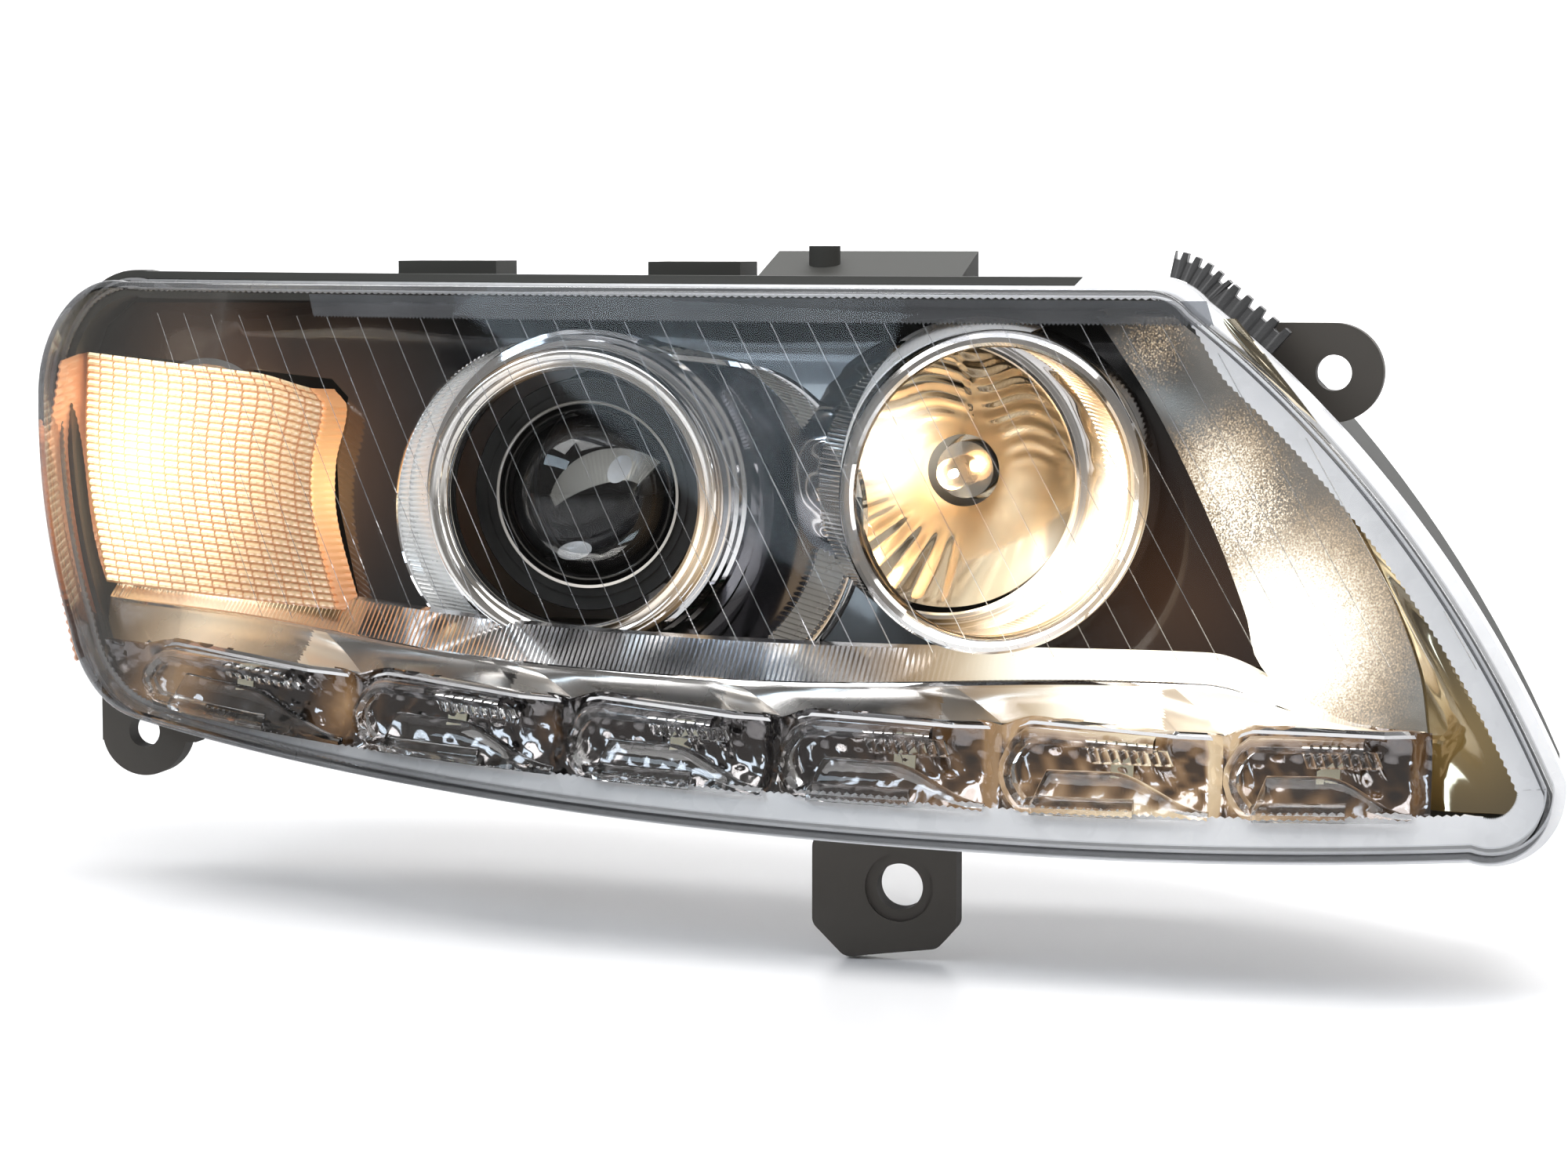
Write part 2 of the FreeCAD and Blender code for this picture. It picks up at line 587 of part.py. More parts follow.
def make_carrier():
    ends = ("plate_left", "plate_right")
    base = plate("carrier_plate", [
        (ends[0], "72"), ("-190", "72"), ("-176", "81"), ("-90", "81"), ("60", "100"), (ends[1], "178"),
        (ends[1], "208"), ("60", "208"), ("40", "202"), ("-150", "202"), ("-170", "208"), (ends[0], "208"),
    ], "plate_back - plate_front", "plate_back", "3")
    holes = [
        cylinder("projector_hole", "holder_bore", "20", ("low_x", "plate_front - 8", "low_z")),
        cylinder("high_hole", "13", "20", ("high_x", "plate_front - 8", "high_z")),
        box("pivot_window", ("pivot_x - 13", "plate_front - 5", "pivot_z - 12"),
            ("pivot_x + 13", "plate_back + 5", "pivot_z + 18")),
        box("spindle_window", ("pivot_x - 9", "plate_front - 5", "motor_z - 9"),
            ("pivot_x + 9", "plate_back + 5", "motor_z + 9")),
        box("nut_window", ("screw_x - 9", "plate_front - 5", "pivot_z - 10"),
            ("screw_x + 9", "plate_back + 5", "pivot_z + 10")),
    ]
    for index in range(4):
        turn = 45 + 90 * index
        holes.append(cylinder(f"projector_screw_hole_{index + 1}", "2", "20", (
            f"low_x + screw_circle * cos({turn})", "plate_front - 8", f"low_z + screw_circle * sin({turn})")))
    pierced = cut("carrier_pierced", base, holes)
    additions = [pierced]
    for side, start, end in (("left", "-15", "-11"), ("right", "11", "15")):
        ear = box(f"pivot_ear_{side}", (f"pivot_x + {start}", "plate_front - 6", "pivot_z - 8"),
                  (f"pivot_x + {end}", "plate_back + 6", "pivot_z + 8"))
        additions.append(ear)
    additions.append(box("solenoid_shelf", ("crank_x - 11", "92", "81"),
                         ("crank_x + 11", "plate_front", "84")))
    joined = fuse("carrier_joined", additions)
    bore = cylinder("pivot_ear_bore", "3 + play", "40", ("pivot_x - 20", "pivot_y", "pivot_z"), "X")
    node(cut("carrier_frame", joined, [bore]), "carrier_frame")


def make_ball_clip(name, x, y, z, ball, gap, reach):
    """Square clip that holds a ball, open at the front and back for its rod."""
    outer = box(f"{name}_blank", (f"{x} - {reach}", f"{y} - 8", f"{z} - {reach}"),
                (f"{x} + {reach}", f"{y} + 8", f"{z} + {reach}"))
    seat = sphere(f"{name}_seat", f"{ball} + {gap}", (x, y, z))
    way = cylinder(f"{name}_way", "4.4", "30", (x, f"{y} - 15", z))
    return node(cut(name, outer, [seat, way]), name)


def make_pivot():
    node(fuse("pivot_stud", [
        sphere("pivot_ball", "ball", ("pivot_x", "pivot_y", "pivot_z")),
        cylinder("pivot_neck", "2.5", "top_z - wall - pivot_z", ("pivot_x", "pivot_y", "pivot_z"), "Z"),
        cylinder("pivot_foot", "7", "3", ("pivot_x", "pivot_y", "top_z - wall - 3"), "Z"),
    ]), "pivot_stud")
    block_shape = box("pivot_block_blank", ("pivot_x - 10.5", "pivot_y - 7", "pivot_z - 7"),
                      ("pivot_x + 10.5", "pivot_y + 7", "pivot_z + 7"))
    pins = cylinder("pivot_block_pins", "3", "29.4", ("pivot_x - 14.7", "pivot_y", "pivot_z"), "X")
    joined = fuse("pivot_block_joined", [block_shape, pins])
    seat = sphere("pivot_block_seat", "ball + play", ("pivot_x", "pivot_y", "pivot_z"))
    neck = cylinder("pivot_block_neck", "4", "20", ("pivot_x", "pivot_y", "pivot_z"), "Z")
    node(cut("pivot_block", joined, [seat, neck]), "pivot_block")


def make_adjusters():
    make_ball_clip("spindle_clip", "pivot_x", "pivot_y", "motor_z", "ball", "ball_play", "9")
    make_ball_clip("nut_clip", "screw_x", "pivot_y", "pivot_z", "nut_ball", "ball_play", "9")
    node(fuse("leveling_spindle", [
        sphere("spindle_ball", "ball", ("pivot_x", "pivot_y", "motor_z")),
        cylinder("spindle_rod", "3", "back_outer + 14 - pivot_y", ("pivot_x", "pivot_y", "motor_z")),
    ]), "leveling_spindle")
    body = box("motor_box", ("pivot_x - 26", "back_outer + 3", "motor_z - 22"),
               ("pivot_x + 26", "back_outer + 37", "motor_z + 22"))
    nose = cylinder("motor_nose", "13.7", "9", ("pivot_x", "back_outer - 6", "motor_z"))
    flange = cylinder("motor_flange", "19", "3", ("pivot_x", "back_outer", "motor_z"))
    joined = fuse("motor_joined", [body, nose, flange])
    way = cylinder("motor_way", "3 + play", "40", ("pivot_x", "back_outer - 10", "motor_z"))
    pocket = cylinder("motor_pocket", "6", "24.8", ("pivot_x - 14", "back_outer + 20", "motor_z + 8"))
    node(cut("leveling_motor", joined, [way, pocket]), "leveling_motor")
    node(turned("vertical_adjuster", [
        ("0", "0"), ("5.7", "0"), ("5.7", "18"), ("8", "18"), ("8", "24"), ("3", "24"),
        ("3", "21"), ("0", "21"),
    ], ("pivot_x - 14", "back_outer + 20.3", "motor_z + 8")), "vertical_adjuster")
    screw = cylinder("lateral_rod", "3", "back_inner + 6 - pivot_y + 20",
                     ("screw_x", "pivot_y - 20", "pivot_z"))
    head = cylinder("lateral_head", "7", "7", ("screw_x", "back_inner + 4.3", "pivot_z"))
    slot = box("lateral_slot", ("screw_x - 1", "back_inner + 9", "pivot_z - 8"),
               ("screw_x + 1", "back_inner + 12", "pivot_z + 8"))
    node(cut("lateral_screw", fuse("lateral_joined", [screw, head]), [slot]), "lateral_screw")
    nut = sphere("nut_ball_blank", "nut_ball", ("screw_x", "pivot_y", "pivot_z"))
    thread = cylinder("nut_thread", "3 + play", "20", ("screw_x", "pivot_y - 10", "pivot_z"))
    node(cut("ball_nut", nut, [thread]), "ball_nut")


def make_projector():
    centre = ("low_x", "0", "low_z")
    # plano-convex lens: the spherical cap has the height between its tip and its rim
    radius, height = value("glass_radius"), value("glass_flat - glass_edge - glass_tip")
    curve = (radius ** 2 + height ** 2) / (2 * height)
    x, z = value("low_x"), value("low_z")
    ball = Part.makeSphere(curve, V(x, value("glass_tip") + curve, z))
    glass = ball.common(round_bar(radius, value("glass_tip") - 1, value("glass_flat"), x, z))
    node(shaped("projector_lens", glass), "projector_lens")
    node(turned("lens_holder_ring", [
        ("glass_radius", "glass_flat - glass_edge"), ("holder_bore", "glass_flat - glass_edge"),
        ("holder_bore", "glass_flat + 8"), ("glass_radius - 2", "glass_flat + 8"),
        ("glass_radius - 2", "glass_flat"), ("glass_radius", "glass_flat"),
    ], centre), "lens_retainer")
    tube = turned("holder_turned", [
        ("holder_bore", "glass_flat - 4"), ("holder_radius", "glass_flat - 4"),
        ("holder_radius", "plate_front - 4"), ("holder_flange", "plate_front - 4"),
        ("holder_flange", "plate_front"), ("holder_bore", "plate_front"),
    ], centre)
    window = box("holder_window", ("low_x - 30", "shutter_y - 26", "low_z - 60"),
                 ("low_x + 36", "plate_front + 1", "low_z - 24"))
    bolts = []
    for index in range(4):
        turn = 45 + 90 * index
        bolts.append(cylinder(f"holder_screw_hole_{index + 1}", "2", "20", (
            f"low_x + screw_circle * cos({turn})", "plate_front - 10", f"low_z + screw_circle * sin({turn})")))
    node(cut("lens_holder", tube, [window] + bolts), "lens_holder")

    reflector = turned("reflector_turned", [
        ("holder_bore", "plate_back"), ("holder_flange", "plate_back"), ("holder_flange", "plate_back + 3"),
        ("holder_bore + 2.5", "plate_back + 3"), ("37.5", "160"), ("32.5", "176"), ("25", "189"),
        ("neck_radius", "neck_y - 3"), ("neck_radius + 5", "neck_y - 3"), ("neck_radius + 5", "neck_y"),
        ("7.5", "neck_y"), ("7.5", "neck_y - 6"), ("22.5", "187"), ("30", "174.5"), ("35", "159"),
        ("holder_bore", "plate_back + 3"),
    ], centre)
    bolts = []
    for index in range(4):
        turn = 45 + 90 * index
        bolts.append(cylinder(f"reflector_screw_hole_{index + 1}", "2", "20", (
            f"low_x + screw_circle * cos({turn})", "plate_back - 8", f"low_z + screw_circle * sin({turn})")))
    node(cut("low_beam_reflector", reflector, bolts), "low_beam_reflector")
    screws = []
    for index in range(4):
        turn = 45 + 90 * index
        x, z = f"low_x + screw_circle * cos({turn})", f"low_z + screw_circle * sin({turn})"
        shank = cylinder(f"screw_shank_{index + 1}", "2", "12", (x, "plate_front - 5", z))
        head = cylinder(f"screw_head_{index + 1}", "3.6", "2.6", (x, "plate_back + 3", z))
        screws.append(fuse(f"screw_{index + 1}", [shank, head]))
    group = doc.addObject("Part::Compound", "projector_screws")
    group.Links = screws
    node(group, "projector_screws")

    node(turned("low_beam_bulb", [
        ("0", "160"), ("4", "161"), ("6", "166"), ("6", "neck_y"), ("0", "neck_y"),
    ], centre), "low_beam_bulb")
    node(turned("low_beam_base", [
        ("0", "neck_y"), ("neck_radius", "neck_y"), ("neck_radius", "neck_y + 2"), ("8", "neck_y + 2"),
        ("8", "neck_y + 6"), ("0", "neck_y + 6"),
    ], centre), "low_beam_base")
    terminals = box("low_terminal_block", ("low_x - 8", "neck_y + 6", "low_z - 8"),
                    ("low_x + 8", "neck_y + 28", "low_z + 8"))
    node(terminals, "low_beam_terminals")


def make_bulb_clip():
    """Wire clip over the bulb base; it hinges below the base and swings backwards."""
    y, base, reach = "neck_y + 2 + play + 1", "low_z - 22", "44"
    legs = [
        cylinder(f"clip_leg_{side}", "1", reach, (f"low_x {shift}", y, base), "Z")
        for side, shift in (("left", "- 11"), ("right", "+ 11"))
    ]
    bar = cylinder("clip_bar", "1", "24", ("low_x - 12", y, f"low_z - 22 + {reach} - 1"), "X")
    hinge = cylinder("clip_hinge", "1", "24", ("low_x - 12", y, base), "X")
    node(fuse("bulb_clip", legs + [bar, hinge]), "bulb_clip")
    lugs = []
    for side, start, end in (("left", "-15.3", "-12.3"), ("right", "12.3", "15.3")):
        lugs.append(box(f"clip_lug_{side}", (f"low_x + {start}", "neck_y", "low_z - 25"),
                        (f"low_x + {end}", "neck_y + 6", "low_z - 11")))
    group = doc.addObject("Part::Compound", "clip_lugs")
    group.Links = lugs
    node(group, "clip_lugs")


def make_shutter():
    wide, narrow = 30, 21
    blade = plate("blade_plate", [
        (f"low_x - {narrow}", "shutter_z"), (f"low_x + {narrow}", "shutter_z"),
        (f"low_x + {wide}", "shutter_z + shutter_height"), ("low_x + 8", "shutter_z + shutter_height"),
        ("low_x - 4", "shutter_z + shutter_height + 3"),
        (f"low_x - {wide}", "shutter_z + shutter_height + 3"),
    ], "1", "shutter_y + 0.5")
    shaft = cylinder("shutter_shaft", "1.5", "crank_x - low_x + 29",
                     ("low_x - 28", "shutter_y", "shutter_z"), "X")
    arm = box("shutter_arm", ("crank_x - 1", "shutter_y - 1", "shutter_z - 11"),
              ("crank_x + 1", "shutter_y + 1", "shutter_z"))
    node(fuse("shutter_blade", [blade, shaft, arm]), "shutter_blade")
    base = box("shutter_base", ("low_x - 27", "shutter_y - 6", "shutter_z - 8"),
               ("low_x + 27", "plate_front", "shutter_z - 5.5"))
    ears = [
        box(f"shutter_ear_{side}", (f"low_x + {start}", "shutter_y - 6", "shutter_z - 8"),
            (f"low_x + {end}", "plate_front", "shutter_z + 5"))
        for side, start, end in (("left", "-27", "-24.5"), ("right", "24.5", "27"))
    ]
    joined = fuse("shutter_bracket_joined", [base] + ears)
    bore = cylinder("shutter_bracket_bore", "1.5 + play", "60",
                    ("low_x - 30", "shutter_y", "shutter_z"), "X")
    node(cut("shutter_bracket", joined, [bore]), "shutter_bracket")
    z = "shutter_z - crank"
    frame = box("solenoid_box", ("crank_x - 9", "92", "84"), ("crank_x + 9", "shutter_y - 9", "100"))
    way = cylinder("solenoid_way", "2 + play", "40", ("crank_x", "90", z))
    node(cut("solenoid", frame, [way]), "solenoid")
    node(turned("plunger", [
        ("0", "100"), ("2", "100"), ("2", "shutter_y - 4"), ("0.8", "shutter_y - 3"),
        ("0.8", "shutter_y - 1.6"), ("0", "shutter_y - 1.6"),
    ], ("crank_x", "0", z)), "plunger")


def make_high_beam():
    centre = ("high_x", "0", "high_z")
    node(turned("high_beam_reflector", [
        ("bowl_radius - 2.5", "bowl_front"), ("bowl_radius", "bowl_front"),
        ("bowl_radius", "bowl_front + 4"), ("45", "86"), ("37", "101"), ("27", "112"),
        ("bowl_neck", "bowl_apex"), ("bowl_neck", "plate_front - 4"), ("bowl_neck + 8", "plate_front - 4"),
        ("bowl_neck + 8", "plate_front"), ("bowl_neck - 2.5", "plate_front"),
        ("bowl_neck - 2.5", "bowl_apex - 2"), ("25", "109.5"), ("35", "98.5"), ("42.5", "84"),
        ("bowl_radius - 2.5", "bowl_front + 4"),
    ], centre), "high_beam_reflector")
    node(turned("high_beam_bulb", [
        ("0", "82"), ("4", "83"), ("6", "88"), ("6", "bowl_apex"), ("0", "bowl_apex"),
    ], centre), "high_beam_bulb")
    node(turned("high_beam_base", [
        ("0", "bowl_apex"), ("bowl_neck - 3", "bowl_apex"), ("bowl_neck - 3", "plate_back"),
        ("20", "plate_back"), ("20", "plate_back + 3"), ("9", "plate_back + 3"), ("9", "plate_back + 7"),
        ("0", "plate_back + 7"),
    ], centre), "high_beam_base")
    node(box("high_beam_terminals", ("high_x - 9", "plate_back + 7", "high_z - 8"),
             ("high_x + 9", "plate_back + 27", "high_z + 8")), "high_beam_terminals")


# ---------------------------------------------------------------- back of the lamp

def make_cap(prefix, opening, back):
    """Twist-off cap over a service opening, with its sealing ring and grip ribs."""
    x, z = f"{prefix}_x", f"{prefix}_z"
    rim = f"{opening} + collar_wall"
    body = turned(f"{prefix}_cap_turned", [
        (f"{rim} + play", "2"), (f"{rim} + play + 2.5", "2"), (f"{rim} + play + 2.5", "collar + 5"),
        (f"{opening} - 6", "collar + 7"), (f"{opening} - 10", "collar + 16"), ("0", "collar + 18"),
        ("0", "collar + 15.5"), (f"{opening} - 12", "collar + 13.5"), (f"{opening} - 9", "collar + 4.5"),
        (opening, "collar + 2.3"), (f"{rim} + play", "collar + 2.3"),
    ], (x, back, z))
    ribs = []
    for index in range(6):
        rib = doc.addObject("Part::Box", f"{prefix}_cap_rib_{index + 1}")
        bind(rib, "Length", "4")
        bind(rib, "Width", "collar + 2")
        bind(rib, "Height", "5")
        angle = math.radians(60 * index + 15)
        turn = FreeCAD.Rotation(V(0, 1, 0), 60 * index + 15)
        reach = f"({rim} + play + 1)"
        rib.Placement = FreeCAD.Placement(V(), turn)
        place(rib, (
            f"{x} + {reach} * {math.sin(angle):.6f} - 2 * {math.cos(angle):.6f}", f"{back} + 2.5",
            f"{z} + {reach} * {math.cos(angle):.6f} + 2 * {math.sin(angle):.6f}"))
        ribs.append(rib)
    node(fuse(f"{prefix}_beam_cap", [body] + ribs), f"{prefix}_beam_cap")
    node(turned(f"{prefix}_cap_gasket", [
        (opening, "collar + play"), (rim, "collar + play"), (rim, "collar + 2.3"), (opening, "collar + 2.3"),
    ], (x, back, z)), f"{prefix}_cap_gasket")


def make_connector():
    x, z, half, tall = "-262", "186", "22", "11"
    blank = box("connector_blank", (f"{x} - {half}", "back_outer", f"{z} - {tall}"),
                (f"{x} + {half}", "back_outer + 24", f"{z} + {tall}"))
    hollow = box("connector_hollow", (f"{x} - {half} + 2.5", "back_outer + 4", f"{z} - {tall} + 2.5"),
                 (f"{x} + {half} - 2.5", "back_outer + 25", f"{z} + {tall} - 2.5"))
    node(cut("connector_socket", blank, [hollow]), "connector_socket")
    pins = []
    for row in range(2):
        for column in range(5):
            low = (f"{x} - 17 + {7.5 * column}", "back_outer + 4", f"{z} - 5 + {8 * row}")
            high = (f"{x} - 15 + {7.5 * column}", "back_outer + 16", f"{z} - 3 + {8 * row}")
            pins.append(box(f"pin_{row}_{column}", low, high))
    group = doc.addObject("Part::Compound", "connector_pins")
    group.Links = pins
    node(group, "connector_pins")
    node(turned("vent_cap", [
        ("0", "0"), ("9", "0"), ("9", "8"), ("6", "11"), ("0", "11"),
    ], (str(VENT_X), "back_inner", str(VENT_Z))), "vent_cap")


# ---------------------------------------------------------------- build, test and write

make_housing()
make_cover_lens()
make_lens_seal()
make_mount_brackets()
make_edge_trims()
make_inner_bezel()
make_rings()
make_side_panels()
make_trim_strip()
make_running_lights()
make_turn_signal()
make_carrier()
make_pivot()
make_adjusters()
make_projector()
make_bulb_clip()
make_shutter()
make_high_beam()
make_cap("low", "low_opening", "back_outer")
make_cap("high", "high_opening", "back_inner")
make_connector()
doc.recompute()

faults = [f"{item.Label}: {item.State}" for item in doc.Objects
          if "Invalid" in item.State or "Error" in item.State]
for item in nodes:
    if item.Shape.isNull() or not item.Shape.isValid() or not item.Shape.Solids:
        faults.append(f"{item.Label}: no valid solid")
if faults:
    raise RuntimeError("; ".join(faults))

os.makedirs("parts", exist_ok=True)
for item in nodes:
    item.Shape.exportStep(f"parts/{item.Label}.step")
    print(f"{item.Label:22s} solids {len(item.Shape.Solids):2d} volume {item.Shape.Volume / 1000:9.2f} cm3")
print(len(nodes), "nodes")
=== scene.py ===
"""Looks of the car headlight assembly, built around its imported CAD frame.

Lengths in the geometry sections are millimetres in the frame of the CAD model; MM turns them into metres.
"""

import math

import bmesh
import bpy
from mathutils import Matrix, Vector, geometry


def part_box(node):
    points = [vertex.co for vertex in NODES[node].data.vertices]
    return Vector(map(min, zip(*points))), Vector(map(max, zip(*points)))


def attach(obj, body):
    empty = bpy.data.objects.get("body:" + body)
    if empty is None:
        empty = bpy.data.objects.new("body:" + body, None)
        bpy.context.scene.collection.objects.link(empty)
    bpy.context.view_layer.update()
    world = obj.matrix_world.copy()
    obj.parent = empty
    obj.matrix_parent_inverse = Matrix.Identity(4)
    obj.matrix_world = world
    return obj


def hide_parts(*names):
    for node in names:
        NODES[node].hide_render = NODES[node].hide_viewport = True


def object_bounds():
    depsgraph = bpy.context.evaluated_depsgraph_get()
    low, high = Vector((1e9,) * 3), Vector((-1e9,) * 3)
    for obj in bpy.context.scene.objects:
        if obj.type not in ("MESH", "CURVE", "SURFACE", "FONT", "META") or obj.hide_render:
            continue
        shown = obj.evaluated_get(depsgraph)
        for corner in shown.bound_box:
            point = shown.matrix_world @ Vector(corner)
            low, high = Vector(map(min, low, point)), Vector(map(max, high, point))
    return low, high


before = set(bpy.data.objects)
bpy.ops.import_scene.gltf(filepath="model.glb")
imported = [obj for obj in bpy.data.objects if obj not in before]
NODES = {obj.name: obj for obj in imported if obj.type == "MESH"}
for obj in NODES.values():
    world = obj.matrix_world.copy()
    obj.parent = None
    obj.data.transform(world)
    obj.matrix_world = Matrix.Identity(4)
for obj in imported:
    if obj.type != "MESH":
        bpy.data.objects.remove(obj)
cad_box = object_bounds()

MM = 0.001

# ---------------------------------------------------------------- swept lens surface

NOSE_X, NOSE_Y, NOSE_Z = 241, -75, 5
INNER_RADIUS, OUTER_RADIUS = 1500, 800
SWEEP = math.radians(12)
RAKE = math.tan(math.radians(17))


def lens_y(x, z):
    """Front of the cover lens: how far back it lies at x, z."""
    run = NOSE_X - x
    joint = INNER_RADIUS * math.sin(SWEEP)
    if run <= joint:
        back = INNER_RADIUS - math.sqrt(INNER_RADIUS ** 2 - run ** 2)
    else:
        reach = run - joint + OUTER_RADIUS * math.sin(SWEEP)
        back = (INNER_RADIUS - OUTER_RADIUS) * (1 - math.cos(SWEEP))
        back += OUTER_RADIUS - math.sqrt(OUTER_RADIUS ** 2 - reach ** 2)
    return NOSE_Y + back + RAKE * (z - NOSE_Z)


def behind(x, z, depth):
    """Point that lies depth behind the front of the lens."""
    return (x, lens_y(x, z) + depth, z)


# ---------------------------------------------------------------- plane curves

def between(a, b, share):
    return a + (b - a) * share


def smooth(share):
    share = min(1, max(0, share))
    return share * share * (3 - 2 * share)


def arc(start, via, end, step):
    """Points on the circle through three points of the X-Z plane, without the last one."""
    (ax, az), (bx, bz), (cx, cz) = start, via, end
    d = 2 * (ax * (bz - cz) + bx * (cz - az) + cx * (az - bz))
    a2, b2, c2 = ax * ax + az * az, bx * bx + bz * bz, cx * cx + cz * cz
    ux = (a2 * (bz - cz) + b2 * (cz - az) + c2 * (az - bz)) / d
    uz = (a2 * (cx - bx) + b2 * (ax - cx) + c2 * (bx - ax)) / d
    radius = math.hypot(ax - ux, az - uz)
    first, middle, last = (math.atan2(z - uz, x - ux) for x, z in (start, via, end))
    turn = (last - first) % (2 * math.pi)
    if (middle - first) % (2 * math.pi) > turn:
        turn -= 2 * math.pi
    count = max(2, round(abs(turn) * radius / step))
    angles = [first + turn * index / count for index in range(count)]
    return [(ux + radius * math.cos(a), uz + radius * math.sin(a)) for a in angles]


def line(start, end, step):
    count = max(1, round(math.dist(start, end) / step))
    shares = [index / count for index in range(count)]
    return [(between(start[0], end[0], s), between(start[1], end[1], s)) for s in shares]


def curve_at(knots, x):
    """Smooth height over x through knots of (x, height)."""
    if x <= knots[0][0]:
        return knots[0][1]
    for index in range(len(knots) - 1):
        (x0, y0), (x1, y1) = knots[index], knots[index + 1]
        if x <= x1:
            before = knots[index - 1] if index else (2 * x0 - x1, 2 * y0 - y1)
            after = knots[index + 2] if index + 2 < len(knots) else (2 * x1 - x0, 2 * y1 - y0)
            slope0 = (y1 - before[1]) / (x1 - before[0]) * (x1 - x0)
            slope1 = (after[1] - y0) / (after[0] - x0) * (x1 - x0)
            s = (x - x0) / (x1 - x0)
            return ((2 * s ** 3 - 3 * s ** 2 + 1) * y0 + (s ** 3 - 2 * s ** 2 + s) * slope0
                    + (3 * s ** 2 - 2 * s ** 3) * y1 + (s ** 3 - s ** 2) * slope1)
    return knots[-1][1]


def lamp_outline(step=4):
    """Front outline of the lamp, once round, seen from the front anticlockwise."""
    top_inner, top_outer, outer = (88, 215.5), (-350, 215.5), (-397, 172)
    lower_outer, base_outer, base_mid = (-362, 75), (-318, 44), (37, 21.5)
    base_inner, tip, slant, slant_top = (205, 25.5), (232.5, 48), (183, 129), (103, 208)
    return (line(top_inner, top_outer, step) + arc(top_outer, (-386, 203.5), outer, step)
            + arc(outer, (-388, 131), lower_outer, step) + arc(lower_outer, (-345, 54), base_outer, step)
            + arc(base_outer, (-128, 27), base_mid, step) + arc(base_mid, (130, 22), base_inner, step)
            + arc(base_inner, (228, 32.5), tip, step / 2) + arc(tip, slant, slant_top, step)
            + arc(slant_top, (97, 212.9), top_inner, step / 2))


def grown(loop, distance):
    """Closed anticlockwise loop moved outwards by distance."""
    moved = []
    for index, (x, z) in enumerate(loop):
        (px, pz), (nx, nz) = loop[index - 1], loop[(index + 1) % len(loop)]
        a, b = Vector((x - px, z - pz)).normalized(), Vector((nx - x, nz - z)).normalized()
        normal = Vector((a.y + b.y, -a.x - b.x))
        normal /= max(0.5, normal.length_squared / 2)
        moved.append((x + normal.x * distance, z + normal.y * distance))
    return moved


# ---------------------------------------------------------------- mesh builder

def thicken(shape, wall):
    """Give an open sheet a back side and edges."""
    shape.normal_update()
    front = list(shape.faces)
    borders = [edge for edge in shape.edges if edge.is_boundary]
    moved = {vert: shape.verts.new(vert.co - vert.normal * wall) for vert in list(shape.verts)}
    for edge in borders:
        loop = edge.link_loops[0]
        a, b = loop.vert, loop.link_loop_next.vert
        side = shape.faces.new((b, a, moved[a], moved[b]))
        side.material_index = loop.face.material_index
    for face in front:
        back = shape.faces.new([moved[vert] for vert in reversed(face.verts)])
        back.material_index = face.material_index


class Piece:
    """Collects points and faces in millimetres and turns them into one object."""

    def __init__(self):
        self.points, self.faces, self.finishes = [], [], []

    def add(self, points):
        start = len(self.points)
        self.points.extend(tuple(point) for point in points)
        return list(range(start, len(self.points)))

    def face(self, indices, finish=0):
        self.faces.append(tuple(indices))
        self.finishes.append(finish)

    def rows(self, rows, wrap=False, finish=0):
        """Quads between rows of points; finish is a number or a function of row and column."""
        table = [self.add(row) for row in rows]
        for i in range(len(table) - 1):
            upper, lower = table[i], table[i + 1]
            last = len(upper) if wrap else len(upper) - 1
            for j in range(last):
                k = (j + 1) % len(upper)
                chosen = finish(i, j) if callable(finish) else finish
                self.face((upper[j], upper[k], lower[k], lower[j]), chosen)
        return table

    def tube(self, rings, finish=0):
        """Solid through closed rings of points, with flat ends."""
        table = self.rows(rings, wrap=True, finish=finish)
        self.face(table[0], finish if not callable(finish) else finish(0, 0))
        self.face(table[-1][::-1], finish if not callable(finish) else finish(0, 0))

    def ring(self, rings, finish=0):
        """Solid through closed rings of points that joins up with its start."""
        self.rows(list(rings) + [rings[0]], wrap=True, finish=finish)

    def object(self, name, body, finishes, replaces=(), sharp=35, thickness=0):
        mesh = bpy.data.meshes.new(name)
        mesh.from_pydata([Vector(point) * MM for point in self.points], [], self.faces)
        for finish in finishes:
            mesh.materials.append(finish)
        mesh.polygons.foreach_set("material_index", self.finishes)
        shape = bmesh.new()
        shape.from_mesh(mesh)
        bmesh.ops.remove_doubles(shape, verts=shape.verts, dist=1e-6)
        bmesh.ops.recalc_face_normals(shape, faces=shape.faces)
        if thickness:
            # the wall of an open sheet lies behind the side that faces forwards
            shape.normal_update()
            if sum(face.normal.y * face.calc_area() for face in shape.faces) > 0:
                bmesh.ops.reverse_faces(shape, faces=shape.faces)
            thicken(shape, thickness * MM)
        for face in shape.faces:
            face.smooth = True
        shape.to_mesh(mesh)
        shape.free()
        mesh.set_sharp_from_angle(angle=math.radians(sharp))
        item = bpy.data.objects.new(name, mesh)
        bpy.context.scene.collection.objects.link(item)
        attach(item, body)
        if replaces:
            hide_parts(*replaces)


def angles(steps):
    return [2 * math.pi * index / steps for index in range(steps)]


def circle(x, z, radius, y, steps):
    """Ring of points round an axis along Y; y is a number or a function of x and z."""
    ring = []
    for a in angles(steps):
        px, pz = x + radius * math.cos(a), z + radius * math.sin(a)
        ring.append((px, y(px, pz) if callable(y) else y, pz))
    return ring


# ---------------------------------------------------------------- materials

def add_node(made, kind, **settings):
    """New shader node in a material, with its settings."""
    added = made.node_tree.nodes.new("ShaderNode" + kind)
    for name, value in settings.items():
        setattr(added, name, value)
    return added


def link(made, source, target):
    made.node_tree.links.new(source, target)


